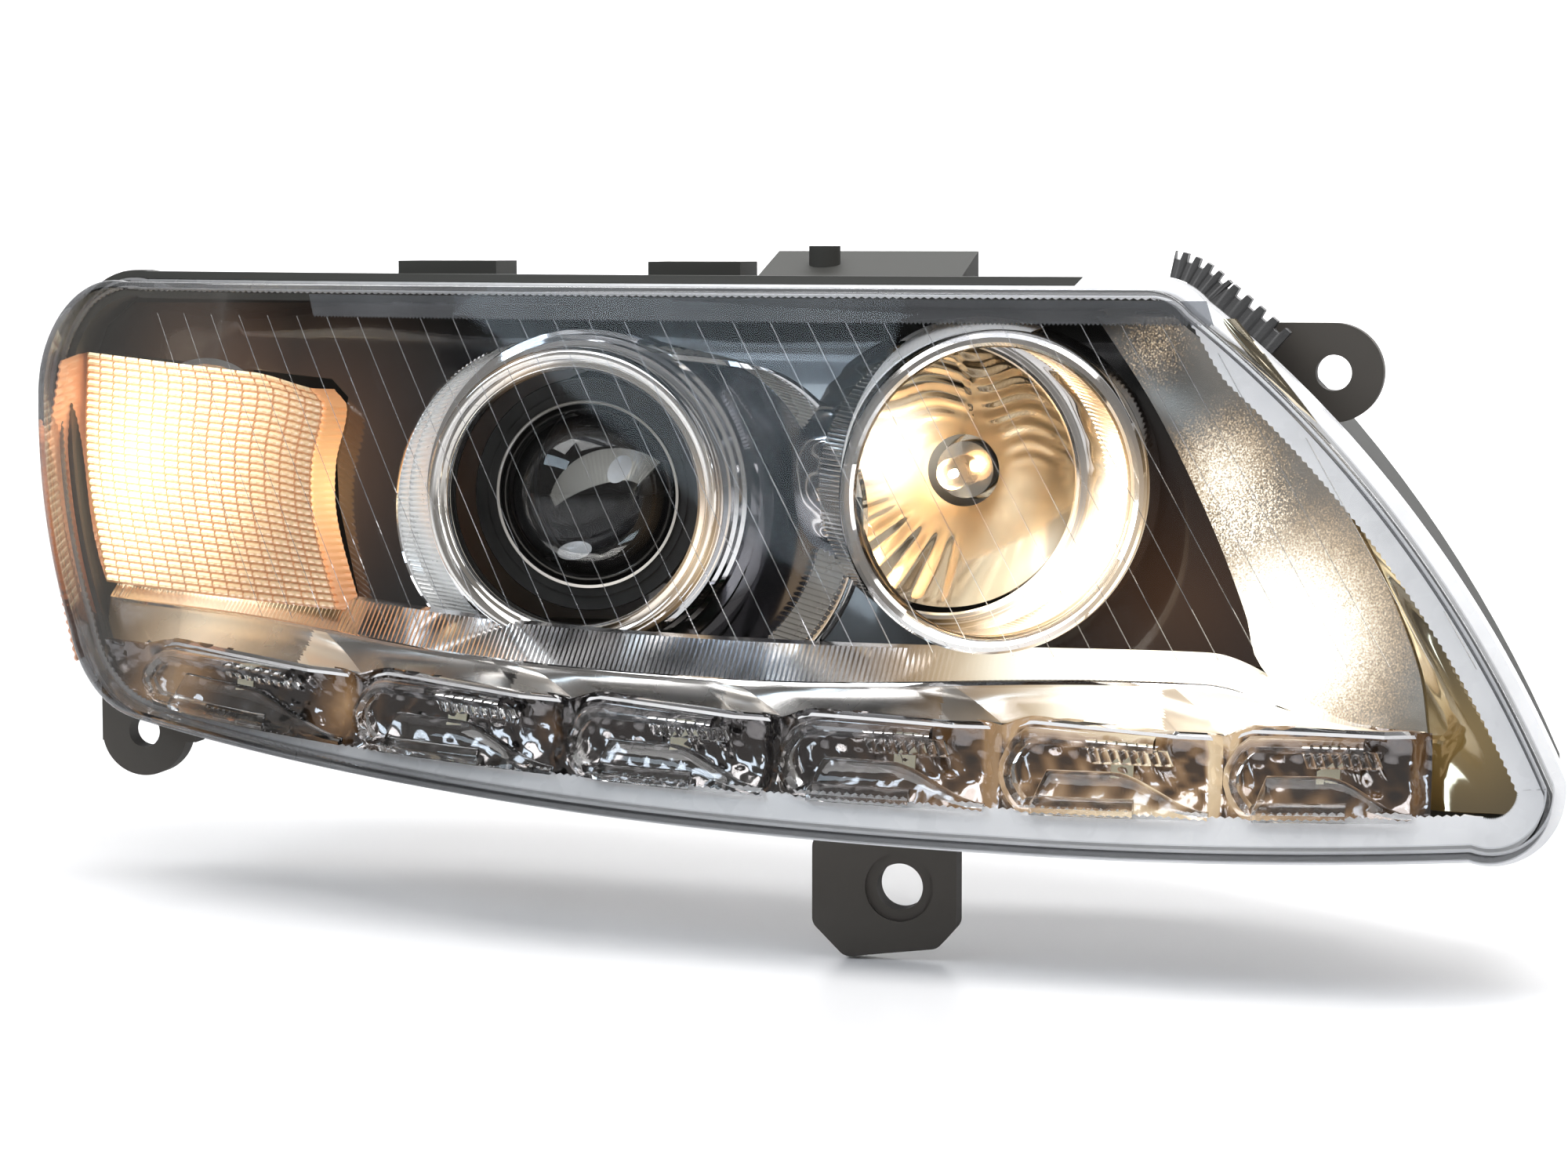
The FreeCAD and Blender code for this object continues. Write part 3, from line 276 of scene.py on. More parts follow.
def surface(made, socket):
    """Input of the material's main shader."""
    return made.node_tree.nodes["Principled BSDF"].inputs[socket]


def place(made):
    """Position on the object, in metres."""
    return add_node(made, "TexCoord").outputs["Object"]


def calculate(made, operation, first, second):
    """Result of a sum on two operands, each a number or the output of a node."""
    step = add_node(made, "Math", operation=operation)
    for socket, operand in zip(step.inputs, (first, second)):
        if isinstance(operand, (int, float)):
            socket.default_value = operand
        else:
            link(made, operand, socket)
    return step.outputs["Value"]


def spread(made, source, low, high, start=0.3, end=0.7):
    """Output that goes from low to high while its source goes from start to end."""
    scale = add_node(made, "MapRange")
    for socket, number in (("From Min", start), ("From Max", end), ("To Min", low), ("To Max", high)):
        scale.inputs[socket].default_value = number
    link(made, source, scale.inputs["Value"])
    return scale.outputs["Result"]


def noise(made, scale, detail=3.0):
    texture = add_node(made, "TexNoise")
    texture.inputs["Scale"].default_value = scale
    texture.inputs["Detail"].default_value = detail
    link(made, place(made), texture.inputs["Vector"])
    return texture.outputs["Fac"]


def ramp(made, source, first, last, start=0.0, end=1.0):
    """Colour that blends from first to last while its source goes from start to end."""
    colours = add_node(made, "ValToRGB")
    for stop, colour, position in zip(colours.color_ramp.elements, (first, last), (start, end)):
        stop.position = position
        stop.color = (*colour, 1)
    link(made, source, colours.inputs["Fac"])
    return colours.outputs["Color"]


def material(name, colour, rough, metallic=0.0, coat=0.0, emission=(1, 1, 1), strength=0.0):
    made = bpy.data.materials.new(name)
    made.use_nodes = True
    for socket, value in (
            ("Base Color", (*colour, 1)), ("Roughness", rough), ("Metallic", metallic), ("Coat Weight", coat),
            ("Emission Color", (*emission, 1)), ("Emission Strength", strength)):
        surface(made, socket).default_value = value
    return made


def rough_variation(made, scale, low, high):
    """Roughness that wanders between low and high."""
    link(made, spread(made, noise(made, scale), low, high), surface(made, "Roughness"))


def colour_variation(made, scale, dark, light):
    """Colour that wanders between dark and light."""
    link(made, ramp(made, noise(made, scale), dark, light, 0.35, 0.65), surface(made, "Base Color"))


def grain(made, scale, strength, depth):
    """Fine bumps, depth in millimetres."""
    bump = add_node(made, "Bump")
    bump.inputs["Strength"].default_value = strength
    bump.inputs["Distance"].default_value = depth * MM
    link(made, noise(made, scale, 2.0), bump.inputs["Height"])
    link(made, bump.outputs["Normal"], surface(made, "Normal"))


def glow(made, spots, core=(1, 0.93, 0.76), rim=(1, 0.6, 0.24), speckle=0.0, facing=None):
    """Painted light: the light that the lamp throws on a surface, painted into it as emission in spots of
    (centre, reach, strength), millimetres.

    speckle scatters the edge of each spot; facing makes the glow grow towards grazing views.
    """
    at = place(made)
    total = None
    for centre, reach, strength in spots:
        gap = add_node(made, "VectorMath", operation="DISTANCE")
        gap.inputs[1].default_value = tuple(c * MM for c in centre)
        link(made, at, gap.inputs[0])
        distance = gap.outputs["Value"]
        if speckle:
            scatter = spread(made, noise(made, 1500), -speckle * MM, speckle * MM)
            distance = calculate(made, "ADD", distance, scatter)
        power = spread(made, distance, strength, 0, 0, reach * MM)
        total = power if total is None else calculate(made, "ADD", total, power)
    power = calculate(made, "POWER", total, 2)
    if facing:
        lean = add_node(made, "LayerWeight").outputs["Facing"]
        power = calculate(made, "MULTIPLY", power, spread(made, lean, 0.05, 1.1, *facing))
    link(made, ramp(made, spread(made, power, 0, 1, 0, 1), rim, core), surface(made, "Emission Color"))
    link(made, power, surface(made, "Emission Strength"))
    return made


def moulded(name, dark, light, low, high):
    """Moulded plastic with a spark-eroded grain."""
    made = material(name, dark, high)
    colour_variation(made, 60, dark, light)
    rough_variation(made, 90, low, high)
    grain(made, 1400, 0.25, 0.15)
    return made


def darker_outwards(made, outer_x, inner_x, least):
    """Pale translucent edge: full brightness from inner_x inwards, `least` of it at outer_x, millimetres,
    with a faint painted glow that grows from outer_x to inner_x.
    """
    split = add_node(made, "SeparateXYZ")
    link(made, place(made), split.inputs["Vector"])
    run = (outer_x * MM, inner_x * MM)
    dimmed = add_node(made, "VectorMath", operation="SCALE")
    link(made, surface(made, "Base Color").links[0].from_socket, dimmed.inputs[0])
    link(made, spread(made, split.outputs["X"], least, 1, *run), dimmed.inputs["Scale"])
    link(made, dimmed.outputs["Vector"], surface(made, "Base Color"))
    # painted light: faint pale emission, none at outer_x and most at inner_x
    surface(made, "Emission Color").default_value = (0.95, 0.96, 1, 1)
    link(made, spread(made, split.outputs["X"], 0, 0.14, *run), surface(made, "Emission Strength"))
    return made


def polished(name, colour, low, high):
    """Bright metallised surface with a faint ripple."""
    made = material(name, colour, low, metallic=1.0)
    rough_variation(made, 45, low, high)
    grain(made, 60, 0.02, 1.0)
    return made


def textured(name, colour, rough, wander, bumps=None, **settings):
    """Surface with roughness over (scale, low, high) and bumps of (scale, strength, depth)."""
    made = material(name, colour, rough, **settings)
    rough_variation(made, *wander)
    if bumps:
        grain(made, *bumps)
    return made


def glass(name, colour, rough, ior):
    made = textured(name, colour, rough, (120, rough, rough + 0.02))
    surface(made, "Transmission Weight").default_value = 1.0
    surface(made, "IOR").default_value = ior
    return made


def blend(made, share, first, second):
    """Mix of two shaders."""
    mixed = add_node(made, "MixShader")
    for socket, source in zip(mixed.inputs, (share, first, second)):
        link(made, source, socket)
    return mixed.outputs["Shader"]


def clear_skin(name, tint, ior, haze, shine_share=0.4):
    """Thin clear plastic: seen through unbent, with a gloss that grows towards its edges."""
    made = bpy.data.materials.new(name)
    made.use_nodes = True
    nodes = made.node_tree.nodes
    nodes.remove(nodes["Principled BSDF"])
    clear = add_node(made, "BsdfTransparent")
    clear.inputs["Color"].default_value = (*tint, 1)
    body = clear.outputs["BSDF"]
    if haze:
        cloud = add_node(made, "BsdfDiffuse")
        cloud.inputs["Color"].default_value = (0.9, 0.92, 0.95, 1)
        body = blend(made, spread(made, noise(made, 25), haze * 0.8, haze * 1.2), body, cloud.outputs["BSDF"])
    gloss = add_node(made, "BsdfGlossy")
    link(made, spread(made, noise(made, 40), 0.02, 0.05), gloss.inputs["Roughness"])
    edge = add_node(made, "Fresnel")
    edge.inputs["IOR"].default_value = ior
    share = spread(made, edge.outputs["Fac"], 0, shine_share, 0, 1)
    link(made, blend(made, share, body, gloss.outputs["BSDF"]), nodes["Material Output"].inputs["Surface"])
    return made


WARM = (1.0, 0.66, 0.34)
AMBER = (1.0, 0.42, 0.1)

CLEAR = clear_skin("clear_lens", (0.99, 0.99, 0.99), 1.3, 0)
RIM_CLEAR = clear_skin("clear_rim", (0.9, 0.91, 0.93), 1.5, 0.1, 0.9)
FLUTE = clear_skin("flute_clear", (0.96, 0.96, 0.97), 1.5, 0.08, 0.5)
BAND = clear_skin("ribbed_band_clear", (0.55, 0.56, 0.58), 1.5, 0.07, 0.12)
FLANGE = darker_outwards(moulded("flange_frosted", (0.8, 0.81, 0.83), (0.88, 0.89, 0.91), 0.2, 0.35),
                         -330, 90, 0.28)
# The grey tint of the projector glass is painted shade: it darkens the view through the lens in place of the
# dark interior.
PROJECTOR_GLASS = clear_skin("projector_glass", (0.5, 0.52, 0.55), 1.6, 0, 1.0)
BLACK = moulded("black_moulded", (0.012, 0.012, 0.013), (0.022, 0.022, 0.023), 0.38, 0.55)
GREY = moulded("grey_moulded", (0.16, 0.165, 0.17), (0.22, 0.225, 0.23), 0.4, 0.55)
# Painted light: brown glow of the lit lamps painted as emission on the gloss black bezel and sleeve.
GLOSS = glow(textured("gloss_black", (0.006, 0.006, 0.007), 0.12, (50, 0.1, 0.2), (70, 0.02, 1.0), coat=1.0),
             [((-262, 130, 135), 95, 0.6), ((-350, 150, 186), 75, 0.62), ((100, 5, 105), 85, 0.4)],
             core=(0.5, 0.26, 0.13), rim=(0.36, 0.16, 0.07))
CHROME = polished("bright_chrome", (0.9, 0.9, 0.91), 0.03, 0.07)
# Painted light: glow of the lamp painted as emission on the chrome bead round the projector lens.
BEAD = glow(polished("bead_chrome", (0.95, 0.93, 0.9), 0.08, 0.14), [((-132, 78, 110), 95, 1.0)],
            core=(1, 0.95, 0.88), rim=(0.9, 0.86, 0.8))
# Painted light: warm glow of the lamps painted as emission on the brushed chrome of the brow.
BRUSHED = glow(polished("brushed_chrome", (0.5, 0.49, 0.48), 0.2, 0.3),
               [((135, -30, 66), 85, 1.2), ((60, -20, 74), 70, 1.0), ((-310, 85, 84), 85, 1.0)])
# Painted light: warm glow of the lamps painted as emission on the ribbed top of the brow.
BROW_RIBBED = glow(polished("brow_ribbed_chrome", (0.8, 0.8, 0.82), 0.12, 0.2),
                   [((80, 5, 84), 115, 1.7), ((-310, 90, 92), 95, 1.1)])
# Painted light: gold and orange glow of the lamp painted as emission on the cell tray, growing towards
# grazing views.
TRAY = glow(polished("tray_chrome", (0.2, 0.19, 0.19), 0.06, 0.14),
            [((95, -10, 46), 130, 1.05), ((-318, 90, 60), 40, 0.72), ((-228, 50, 55), 24, 0.6),
             ((-133, 25, 50), 14, 0.6)],
            core=(1, 0.88, 0.62), rim=(0.85, 0.4, 0.12), facing=(0.02, 0.22))


def glowing(name, base, core, rim, strength, centre, reach):
    """Plastic lit from behind, with the light painted as emission: bright round its lamp, deeper in colour
    away from it.
    """
    made = material(name, base, 0.12, coat=0.5)
    return glow(made, [(centre, reach, strength)], core, rim)


TURN_HEART = (-352, 160, 142)
# Painted light: the turn glows are emission round their centres; the bright and the deep copy are lit and
# shaded copies of the turn glow for the faces and grooves of the pillow prisms.
TURN_GLOW = glowing("turn_glow", (0.9, 0.6, 0.35), (1, 0.84, 0.46), (1, 0.6, 0.24), 1.9, TURN_HEART, 120)
TURN_PAINTED_LIT = glowing("turn_painted_lit", (0.9, 0.65, 0.4), (1, 0.92, 0.64), (1, 0.74, 0.36), 2.7, TURN_HEART, 122)
TURN_PAINTED_SHADE = glowing("turn_painted_shade", (0.8, 0.4, 0.2), (1, 0.58, 0.24), (0.75, 0.32, 0.1), 1.2, TURN_HEART, 115)
# Painted light: the side wall of the turn signal glows as emission, though it is no lamp.
TURN_WALL = glowing("turn_wall", (0.8, 0.45, 0.3), (1, 0.5, 0.25), (0.8, 0.28, 0.12), 0.95, TURN_HEART, 110)
TURN_RIM = glowing("turn_rim", (0.8, 0.4, 0.2), (1, 0.6, 0.25), (0.9, 0.3, 0.1), 1.1, (-250, 105, 135), 90)
DARK_CHROME = polished("dark_chrome", (0.28, 0.28, 0.3), 0.05, 0.1)
# Painted light: spots of the lamp's light painted as emission on the sandblasted panel, their edges
# scattered.
SATIN = glow(textured("sandblasted_metal", (0.46, 0.44, 0.41), 0.36, (200, 0.3, 0.42), (2200, 0.5, 0.12),
                      metallic=1.0),
             [((136, 0, 92), 58, 1.9), ((110, 10, 150), 30, 1.5), ((80, 20, 196), 22, 1.5)], speckle=9)
# Painted light: gold glow of the lamp painted as emission on the mirrored side wall.
MIRROR = glow(polished("mirror_wall_metal", (0.4, 0.35, 0.26), 0.05, 0.1), [((205, -25, 62), 50, 0.62)],
              core=(0.6, 0.42, 0.16), rim=(0.5, 0.33, 0.1))
PRISM = glass("prism_plastic", (0.98, 0.98, 0.98), 0.01, 1.45)
SOFT, SHALLOW = (80, 0.24, 0.36), (500, 0.1, 0.2)
CRESCENT = textured("crescent_silver", (0.94, 0.94, 0.93), 0.28, SOFT, SHALLOW, metallic=0.3)
RIBBED_LIP = textured("ribbed_lip", (0.36, 0.34, 0.31), 0.28, SOFT, SHALLOW, metallic=0.4)
# Painted highlights: glow painted as emission on the two facets inside the projector in place of highlights.
FAN_HIGHLIGHT = glow(polished("fan_painted_highlight", (0.9, 0.9, 0.9), 0.15, 0.25), [((-138, 101, 130), 60, 1.7)],
                 core=(1, 0.97, 0.9))
MATT = moulded("matt_black", (0.008, 0.008, 0.008), (0.016, 0.016, 0.016), 0.6, 0.8)
# Painted light: a paler, less metallic copy of the brushed chrome for the lit part of each brow facet, with
# painted lamp glow.
FACET = glow(textured("brow_facet_painted_lit", (0.66, 0.62, 0.57), 0.24, (80, 0.18, 0.28), metallic=0.7),
             [((120, -20, 66), 120, 0.85), ((-280, 70, 74), 110, 0.75)])
# Painted light: warm glow of the lamp painted as emission on the projector ring.
RING_CHROME = glow(polished("ring_chrome", (0.93, 0.91, 0.88), 0.04, 0.08),
                   [((-86, 52, 112), 52, 0.8), ((-160, 55, 186), 26, 0.5)],
                   core=(1, 0.8, 0.5), rim=(0.8, 0.5, 0.25))
# Painted light: glow painted as emission on the fan inside the projector, growing towards grazing views.
FAN = glow(polished("fan_metal", (0.8, 0.78, 0.74), 0.12, 0.2), [((-134, 101, 140), 70, 0.95)],
           core=(0.8, 0.76, 0.66), rim=(0.5, 0.46, 0.38), facing=(0.0, 0.25))
CAP = moulded("cap_plastic", (0.03, 0.03, 0.032), (0.045, 0.045, 0.047), 0.3, 0.42)
MOTOR = moulded("motor_plastic", (0.05, 0.05, 0.052), (0.07, 0.07, 0.073), 0.35, 0.5)
# Painted light: glow of the high beam painted as emission on the chrome of its ring.
HIGH_CHROME = glow(polished("high_ring_chrome", (0.9, 0.88, 0.86), 0.03, 0.08),
                   [((64, 15, 118), 62, 2.2), ((30, 60, 105), 40, 1.2)])
# Painted light: glow of the high beam painted as emission on the ribbed band of its ring.
HIGH_RIBBED = glow(polished("high_ring_ribbed", (0.85, 0.83, 0.8), 0.1, 0.2), [((70, 0, 125), 66, 2.4)])
# Painted light: glare of the high beam painted as emission on its reflector bowl and base.
BOWL_CHROME = glow(polished("high_bowl_chrome", (0.6, 0.55, 0.47), 0.04, 0.09),
                   [((-16, 95, 150), 30, 2.4), ((34, 75, 118), 36, 1.2)])
FILAMENT = material("filament_glow", WARM, 0.5, emission=WARM, strength=2600)
AMBER_FILAMENT = material("amber_filament_glow", AMBER, 0.5, emission=AMBER, strength=1500)

# Painted shade: the lens holder and the shutter parts take matt black and the low beam reflector a dark
# chrome, so the view through the projector lens stays dark.
for name, finish in (
        ("lens_holder", MATT), ("shutter_bracket", MATT), ("shutter_blade", MATT), ("turn_socket", GREY),
        ("low_beam_cap", CAP), ("high_beam_cap", CAP), ("leveling_motor", MOTOR),
        ("high_beam_base", BOWL_CHROME), ("low_beam_reflector", DARK_CHROME),
        ("projector_lens", PROJECTOR_GLASS)):
    NODES[name].data.materials[0] = finish

# ---------------------------------------------------------------- cover lens

LENS_WALL, LENS_SKIRT, LENS_ROUND = 3, 36, 2.5
FLUTE_SLANT, FLUTE_PITCH, FLUTE_TOP, FLUTE_FOOT = 0.6, 14.6, 203, 88
RIB_START, RIB_STEP, RIB_COUNT, RIB_LEAN = -252, 0.8, 452, 3
LAND = 4.02


def inside(loop, x, z):
    hit = False
    for index, (x1, z1) in enumerate(loop):
        x0, z0 = loop[index - 1]
        if (z0 > z) != (z1 > z) and x < x0 + (z - z0) / (z1 - z0) * (x1 - x0):
            hit = not hit
    return hit


def sheet(piece, loop, depth, holes=(), corner=(-402, 24), pitch=(7, 12), margin=0):
    """Lens-shaped face inside a loop and outside its holes, over a grid that keeps a margin off the loop."""
    points, edges = [], []
    for edge in (loop, *holes):
        start = len(points)
        points.extend(Vector(point) for point in edge)
        edges.extend((start + i, start + (i + 1) % len(edge)) for i in range(len(edge)))

    def within(outline, x, z):
        return inside(outline, x, z) and not any(inside(hole, x, z) for hole in holes)

    fence = grown(loop, -margin) if margin else loop
    for i in range(int(660 / pitch[0])):
        for j in range(int(200 / pitch[1])):
            x, z = corner[0] + i * pitch[0], corner[1] + j * pitch[1]
            if within(fence, x, z):
                points.append(Vector((x, z)))
    flat, _, faces, *_ = geometry.delaunay_2d_cdt(points, edges, [], 1, 1e-5)
    indices = piece.add([behind(p.x, p.y, depth) for p in flat])
    for face in faces:
        middle = sum((flat[k] for k in face), Vector((0, 0))) / len(face)
        if within(loop, middle.x, middle.y):
            piece.face([indices[k] for k in face])


def make_cover_lens():
    piece = Piece()
    loop = lamp_outline()
    face_edge = grown(loop, -LENS_ROUND)
    grid = {"corner": (-400, 22), "pitch": (6, 14), "margin": 3}
    sheet(piece, face_edge, 0, **grid)
    rings = []
    for quarter in range(5):
        a = math.radians(22.5 * quarter)
        edge = grown(loop, -LENS_ROUND * (1 - math.sin(a)))
        rings.append([behind(x, z, LENS_ROUND * (1 - math.cos(a))) for x, z in edge])
    for depth in (10, 20, LENS_SKIRT):
        rings.append([behind(x, z, depth) for x, z in loop])
    inner = grown(loop, -LENS_WALL)
    for depth in (LENS_SKIRT, 20, 10, LENS_WALL):
        rings.append([behind(x, z, depth) for x, z in inner])
    piece.rows(rings, wrap=True, finish=1)
    sheet(piece, inner, LENS_WALL, **grid)
    x = -330
    while x < 200:
        add_flute(piece, x, inner)
        x += FLUTE_PITCH
    add_top_ribs(piece)
    add_flange(piece)
    add_outer_land(piece)
    piece.object("cover_lens_clear", "lamp_housing", [CLEAR, RIM_CLEAR, FLUTE, BAND, FLANGE],
                 replaces=["cover_lens"], sharp=50)


def add_flute(piece, x_top, boundary):
    """Slanting ridge on the inner face of the lens."""
    rings = []
    for index in range(13):
        z = between(FLUTE_TOP, FLUTE_FOOT, index / 12)
        x = x_top + FLUTE_SLANT * (FLUTE_TOP - z)
        if not inside(boundary, x, z):
            continue
        rings.append([behind(x - 0.22, z, 2.9), behind(x + 0.22, z, 2.9), behind(x, z, 3.3)])
    if len(rings) > 2:
        piece.tube(rings, finish=2)


def grown_by(loop, side, width):
    """Loop moved outwards (side 1) or inwards (side -1) by a width that depends on x, z and the index."""
    moved = []
    for index, ((x, z), near) in enumerate(zip(loop, grown(loop, side))):
        reach = width(x, z, index)
        moved.append((x + (near[0] - x) * reach, z + (near[1] - z) * reach))
    return moved


def flange_width(x, z):
    """Width of the frosted flange inside the skirt: wide along the bottom and the inner end."""
    if x > 0:
        return between(12.5, 4, smooth((z - 190) / 22))
    if z > 206:
        return 4
    return between(12.5, 4.5, smooth(-x / 330)) if z < 60 else 4.5


def add_flange(piece):
    """Flat frosted flange round the inside of the skirt, with fine ticks along its inner edge."""
    fine = lamp_outline(1.5)
    inner = grown_by(fine, -1, lambda x, z, index: flange_width(x, z) - (0.7 if index % 2 else 0))
    outer = grown(fine, -2.5)
    piece.ring([[behind(x, z, depth) for x, z in edge] for edge, depth in (
        (outer, 20), (inner, 20.5), (inner, 22), (outer, 22))], finish=4)


def land_width(x, z, _):
    """Width of the frosted edge outside the skirt: full along the bottom and the inner end."""
    return LAND if x > 60 else between(LAND, 0.8, smooth((z - 60) / 60))


def add_outer_land(piece):
    """Frosted welded edge of the cover, round the rim of the housing."""
    fine = lamp_outline(3)
    outer = grown_by(fine, 1, land_width)
    inner, under = grown(fine, -0.5), grown(outer, -0.06)
    piece.ring([[behind(x, z, depth) for x, z in edge] for edge, depth in (
        (inner, 24.6), (outer, 25.2), (outer, 41), (under, 41), (under, 26.6), (inner, 26.6))], finish=4)


def add_top_ribs(piece):
    """Band of fine upright ribs along the top of the lens, with a beaded lower edge."""
    sections = []
    for index in range(RIB_COUNT):
        x = RIB_START + index * RIB_STEP
        ridge, low = (3.7, 202.7) if index % 2 else (3.05, 203.5)
        sections.append([behind(x, 211.5, 2.9), behind(x, 211.5, ridge), behind(x + RIB_LEAN, low, ridge),
                         behind(x + RIB_LEAN, low, 2.9)])
    piece.tube(sections, finish=3)


make_cover_lens()

# ---------------------------------------------------------------- black bezel with its three openings

LOW_X, LOW_Z = -138, 135
HIGH_X, HIGH_Z = 3, 144
HIGH_RING_X = 33
BEZEL_DEPTH = 51


def oblong(steps):
    """Rim of the projector bowl: a loop round two circles side by side, in the X-Z plane."""
    left, right, radius_left, radius_right = (-161, 134), (-82, 126), 58, 61
    loop = []
    for a in angles(steps):
        share = smooth((math.cos(a) + 0.4) / 0.8)
        radius = between(radius_left, radius_right, share)
        loop.append((between(left[0], right[0], share) + radius * math.cos(a),
                     between(left[1], right[1], share) + radius * math.sin(a)))
    return loop


TURN_HOLE = [(-386, 185), (-256, 177), (-247, 170), (-250, 145), (-247, 128), (-232, 88), (-362, 91),
             (-381, 130)]
BROW_TOP = [(-358, 96), (-252, 93), (-174, 88), (-112, 85.5), (-23, 84.6), (95, 85.6), (140, 84.5)]
WEDGE = [(66, 206), (90, 172), (112, 132), (126, 100), (131, 84)]


def make_bezel():
    piece = Piece()
    lower = [(x, curve_at(BROW_TOP, x) - 3) for x in range(-356, 131, 6)]
    right = [(curve_at([(206 - z, x) for x, z in WEDGE], 206 - z), z) for z in range(90, 206, 8)]
    left = [(-384, 120), (-391, 150), (-392, 175), (-384, 196), (-368, 206)]
    loop = lower + right + [(66, 207), (0, 207.5), (-120, 207.5), (-240, 207.5)] + left[::-1]
    high = [(HIGH_RING_X - 4 + 57 * math.cos(a), HIGH_Z + 57 * math.sin(a)) for a in angles(120)]
    sheet(piece, loop, BEZEL_DEPTH, [oblong(240), high, TURN_HOLE])
    piece.object("inner_bezel_gloss", "lamp_housing", [GLOSS], replaces=["inner_bezel"],
                 thickness=2.2)


make_bezel()

# ---------------------------------------------------------------- projector ring and its bowl


def make_projector_ring():
    piece = Piece()
    profile = [
        (48.8, 66), (48.8, 57.5), (49.3, 56), (50.2, 55.2), (51.2, 56), (51.7, 55.4), (53.2, 53.8),
        (54.8, 53.1), (56.4, 54), (57.2, 56.5), (57.5, 60), (57.5, 75), (54, 75), (54, 66),
    ]
    piece.ring([circle(LOW_X, LOW_Z, r, y, 192) for r, y in profile])
    piece.object("projector_ring_chrome", "lamp_housing", [RING_CHROME],
                 replaces=["projector_ring"], sharp=60)


def blend_loops(inner, outer, share):
    return [tuple(between(a, b, share) for a, b in zip(p, q)) for p, q in zip(inner, outer)]


def moved_back(loop, drop):
    return [(x, y + drop, z) for x, y, z in loop]


def radial(loop, move):
    """Loop of points grown about its own middle by move millimetres in the X-Z plane."""
    mx = sum(p[0] for p in loop) / len(loop)
    mz = sum(p[2] for p in loop) / len(loop)
    moved = []
    for x, y, z in loop:
        length = math.hypot(x - mx, z - mz)
        moved.append((x + (x - mx) / length * move, y, z + (z - mz) / length * move))
    return moved


def ribs(loop, lift):
    """Loop whose points step back and forth in twos, for a band of fine ribs."""
    return [(x, y + (lift if index // 2 % 2 else 0), z) for index, (x, y, z) in enumerate(loop)]


def make_projector_bowl():
    """Stepped barrel behind the chrome ring, opening into a bowl with a ribbed lip."""
    piece = Piece()
    steps = 720

    def on_left(j):
        return math.cos(2 * math.pi * j / steps) < -0.2

    stages = [(57.7, 63), (57.7, 67), (59.6, 67), (60, 71), (61.6, 71.5), (62, 76), (63.6, 76.5), (64.4, 80)]
    rings = [circle(LOW_X, LOW_Z, r, y, steps) for r, y in stages]
    rim = [behind(x, z, BEZEL_DEPTH - 1) for x, z in oblong(steps)]
    base = rings[-1]
    for share, drop in ((0.2, 1), (0.4, 1.8), (0.55, 1.4)):
        middle = moved_back(blend_loops(base, rim, share), drop)
        lifted = ribs(middle, 0.9)
        rings.append([lifted[j] if on_left(j) else middle[j] for j in range(steps)])
    rings.append(moved_back(blend_loops(base, rim, 0.62), 1.2))
    rings.append(ribs(blend_loops(base, rim, 0.64), 0.9))
    rings.append(ribs(blend_loops(base, rim, 0.9), 0.9))
    rings.append(blend_loops(base, rim, 0.92))
    rings.append(moved_back(blend_loops(base, rim, 0.95), -1.2))
    rings.append(moved_back(rim, -1.2))
    rings.append(moved_back(radial(rim, 1.2), 1.5))
    band = [1, 0, 1, 0, 1, 0, 1, 0, 1, 1, 1, 0, 2, 0, 0, 0, 0, 0]
    left_band = [1, 0, 1, 0, 1, 0, 1, 3, 3, 3, 3, 3, 3, 3, 0, 0, 0, 0]
    piece.rows([ring + ring[:1] for ring in rings],
               finish=lambda i, j: (left_band if on_left(j) else band)[i])
    piece.object("projector_bowl", "lamp_housing", [CHROME, DARK_CHROME, RIBBED_LIP, CRESCENT],
                 replaces=["projector_shroud"], sharp=25, thickness=1)


def make_lens_retainer():
    """Dark stepped cone round the projector lens, with a fine bright bead at the edge of the glass."""
    piece = Piece()
    profile = [
        (35.1, 81), (35.1, 78.8), (35.6, 78), (36.2, 78.6), (36.5, 79.8), (39.5, 79.4), (39.8, 80.2),
        (44.6, 79.2), (45, 80), (45, 82), (38, 84), (38, 92), (33, 92), (33, 84.3), (35.1, 84.3),
    ]
    bead = (1, 2)
    rings = [circle(LOW_X, LOW_Z, r, y, 160) for r, y in profile]
    piece.rows(rings + [rings[0]], wrap=True, finish=lambda i, j: 1 if i in bead else 0)
    piece.object("lens_retainer_cone", "carrier", [MATT, BEAD],
                 replaces=["lens_retainer"], sharp=60)


def make_fan():
    """Ribbed fan and two small facets inside the projector, seen through its lens; the facets glow as painted
    highlights and the fan carries painted lamp light.
    """
    piece = Piece()
    outer, inner = [], []
    hub = (LOW_X + 7, LOW_Z - 8)
    for index in range(61):
        a = math.radians(between(52, 165, index / 60))
        rib = 1.1 if index % 2 else 0
        outer.append((hub[0] + 28 * math.cos(a), 98 + rib, hub[1] + 25 * math.sin(a)))
        inner.append((hub[0] + between(15, 25, index / 60) * math.cos(a), 95 + rib,
                      hub[1] + between(14, 9, index / 60) * math.sin(a)))
    piece.rows([outer, inner])
    for x, z, wide, tall in ((LOW_X + 9, LOW_Z + 9, 4.5, 5.5), (LOW_X - 9, LOW_Z - 23, 6.5, 3.4)):
        facet = circle(x, z, 1, 94, 24)
        edge = [(x + (px - x) * wide + (pz - z) * 2, y, z + (pz - z) * tall) for px, y, pz in facet]
        crown = [(x + (px - x) * 0.5, y - 1, z + (pz - z) * 0.5) for px, y, pz in edge]
        table = piece.rows([edge, crown], wrap=True, finish=1)
        piece.face(table[-1][::-1], 1)
    piece.object("projector_fan", "carrier", [FAN, FAN_HIGHLIGHT], sharp=20, thickness=0.6)


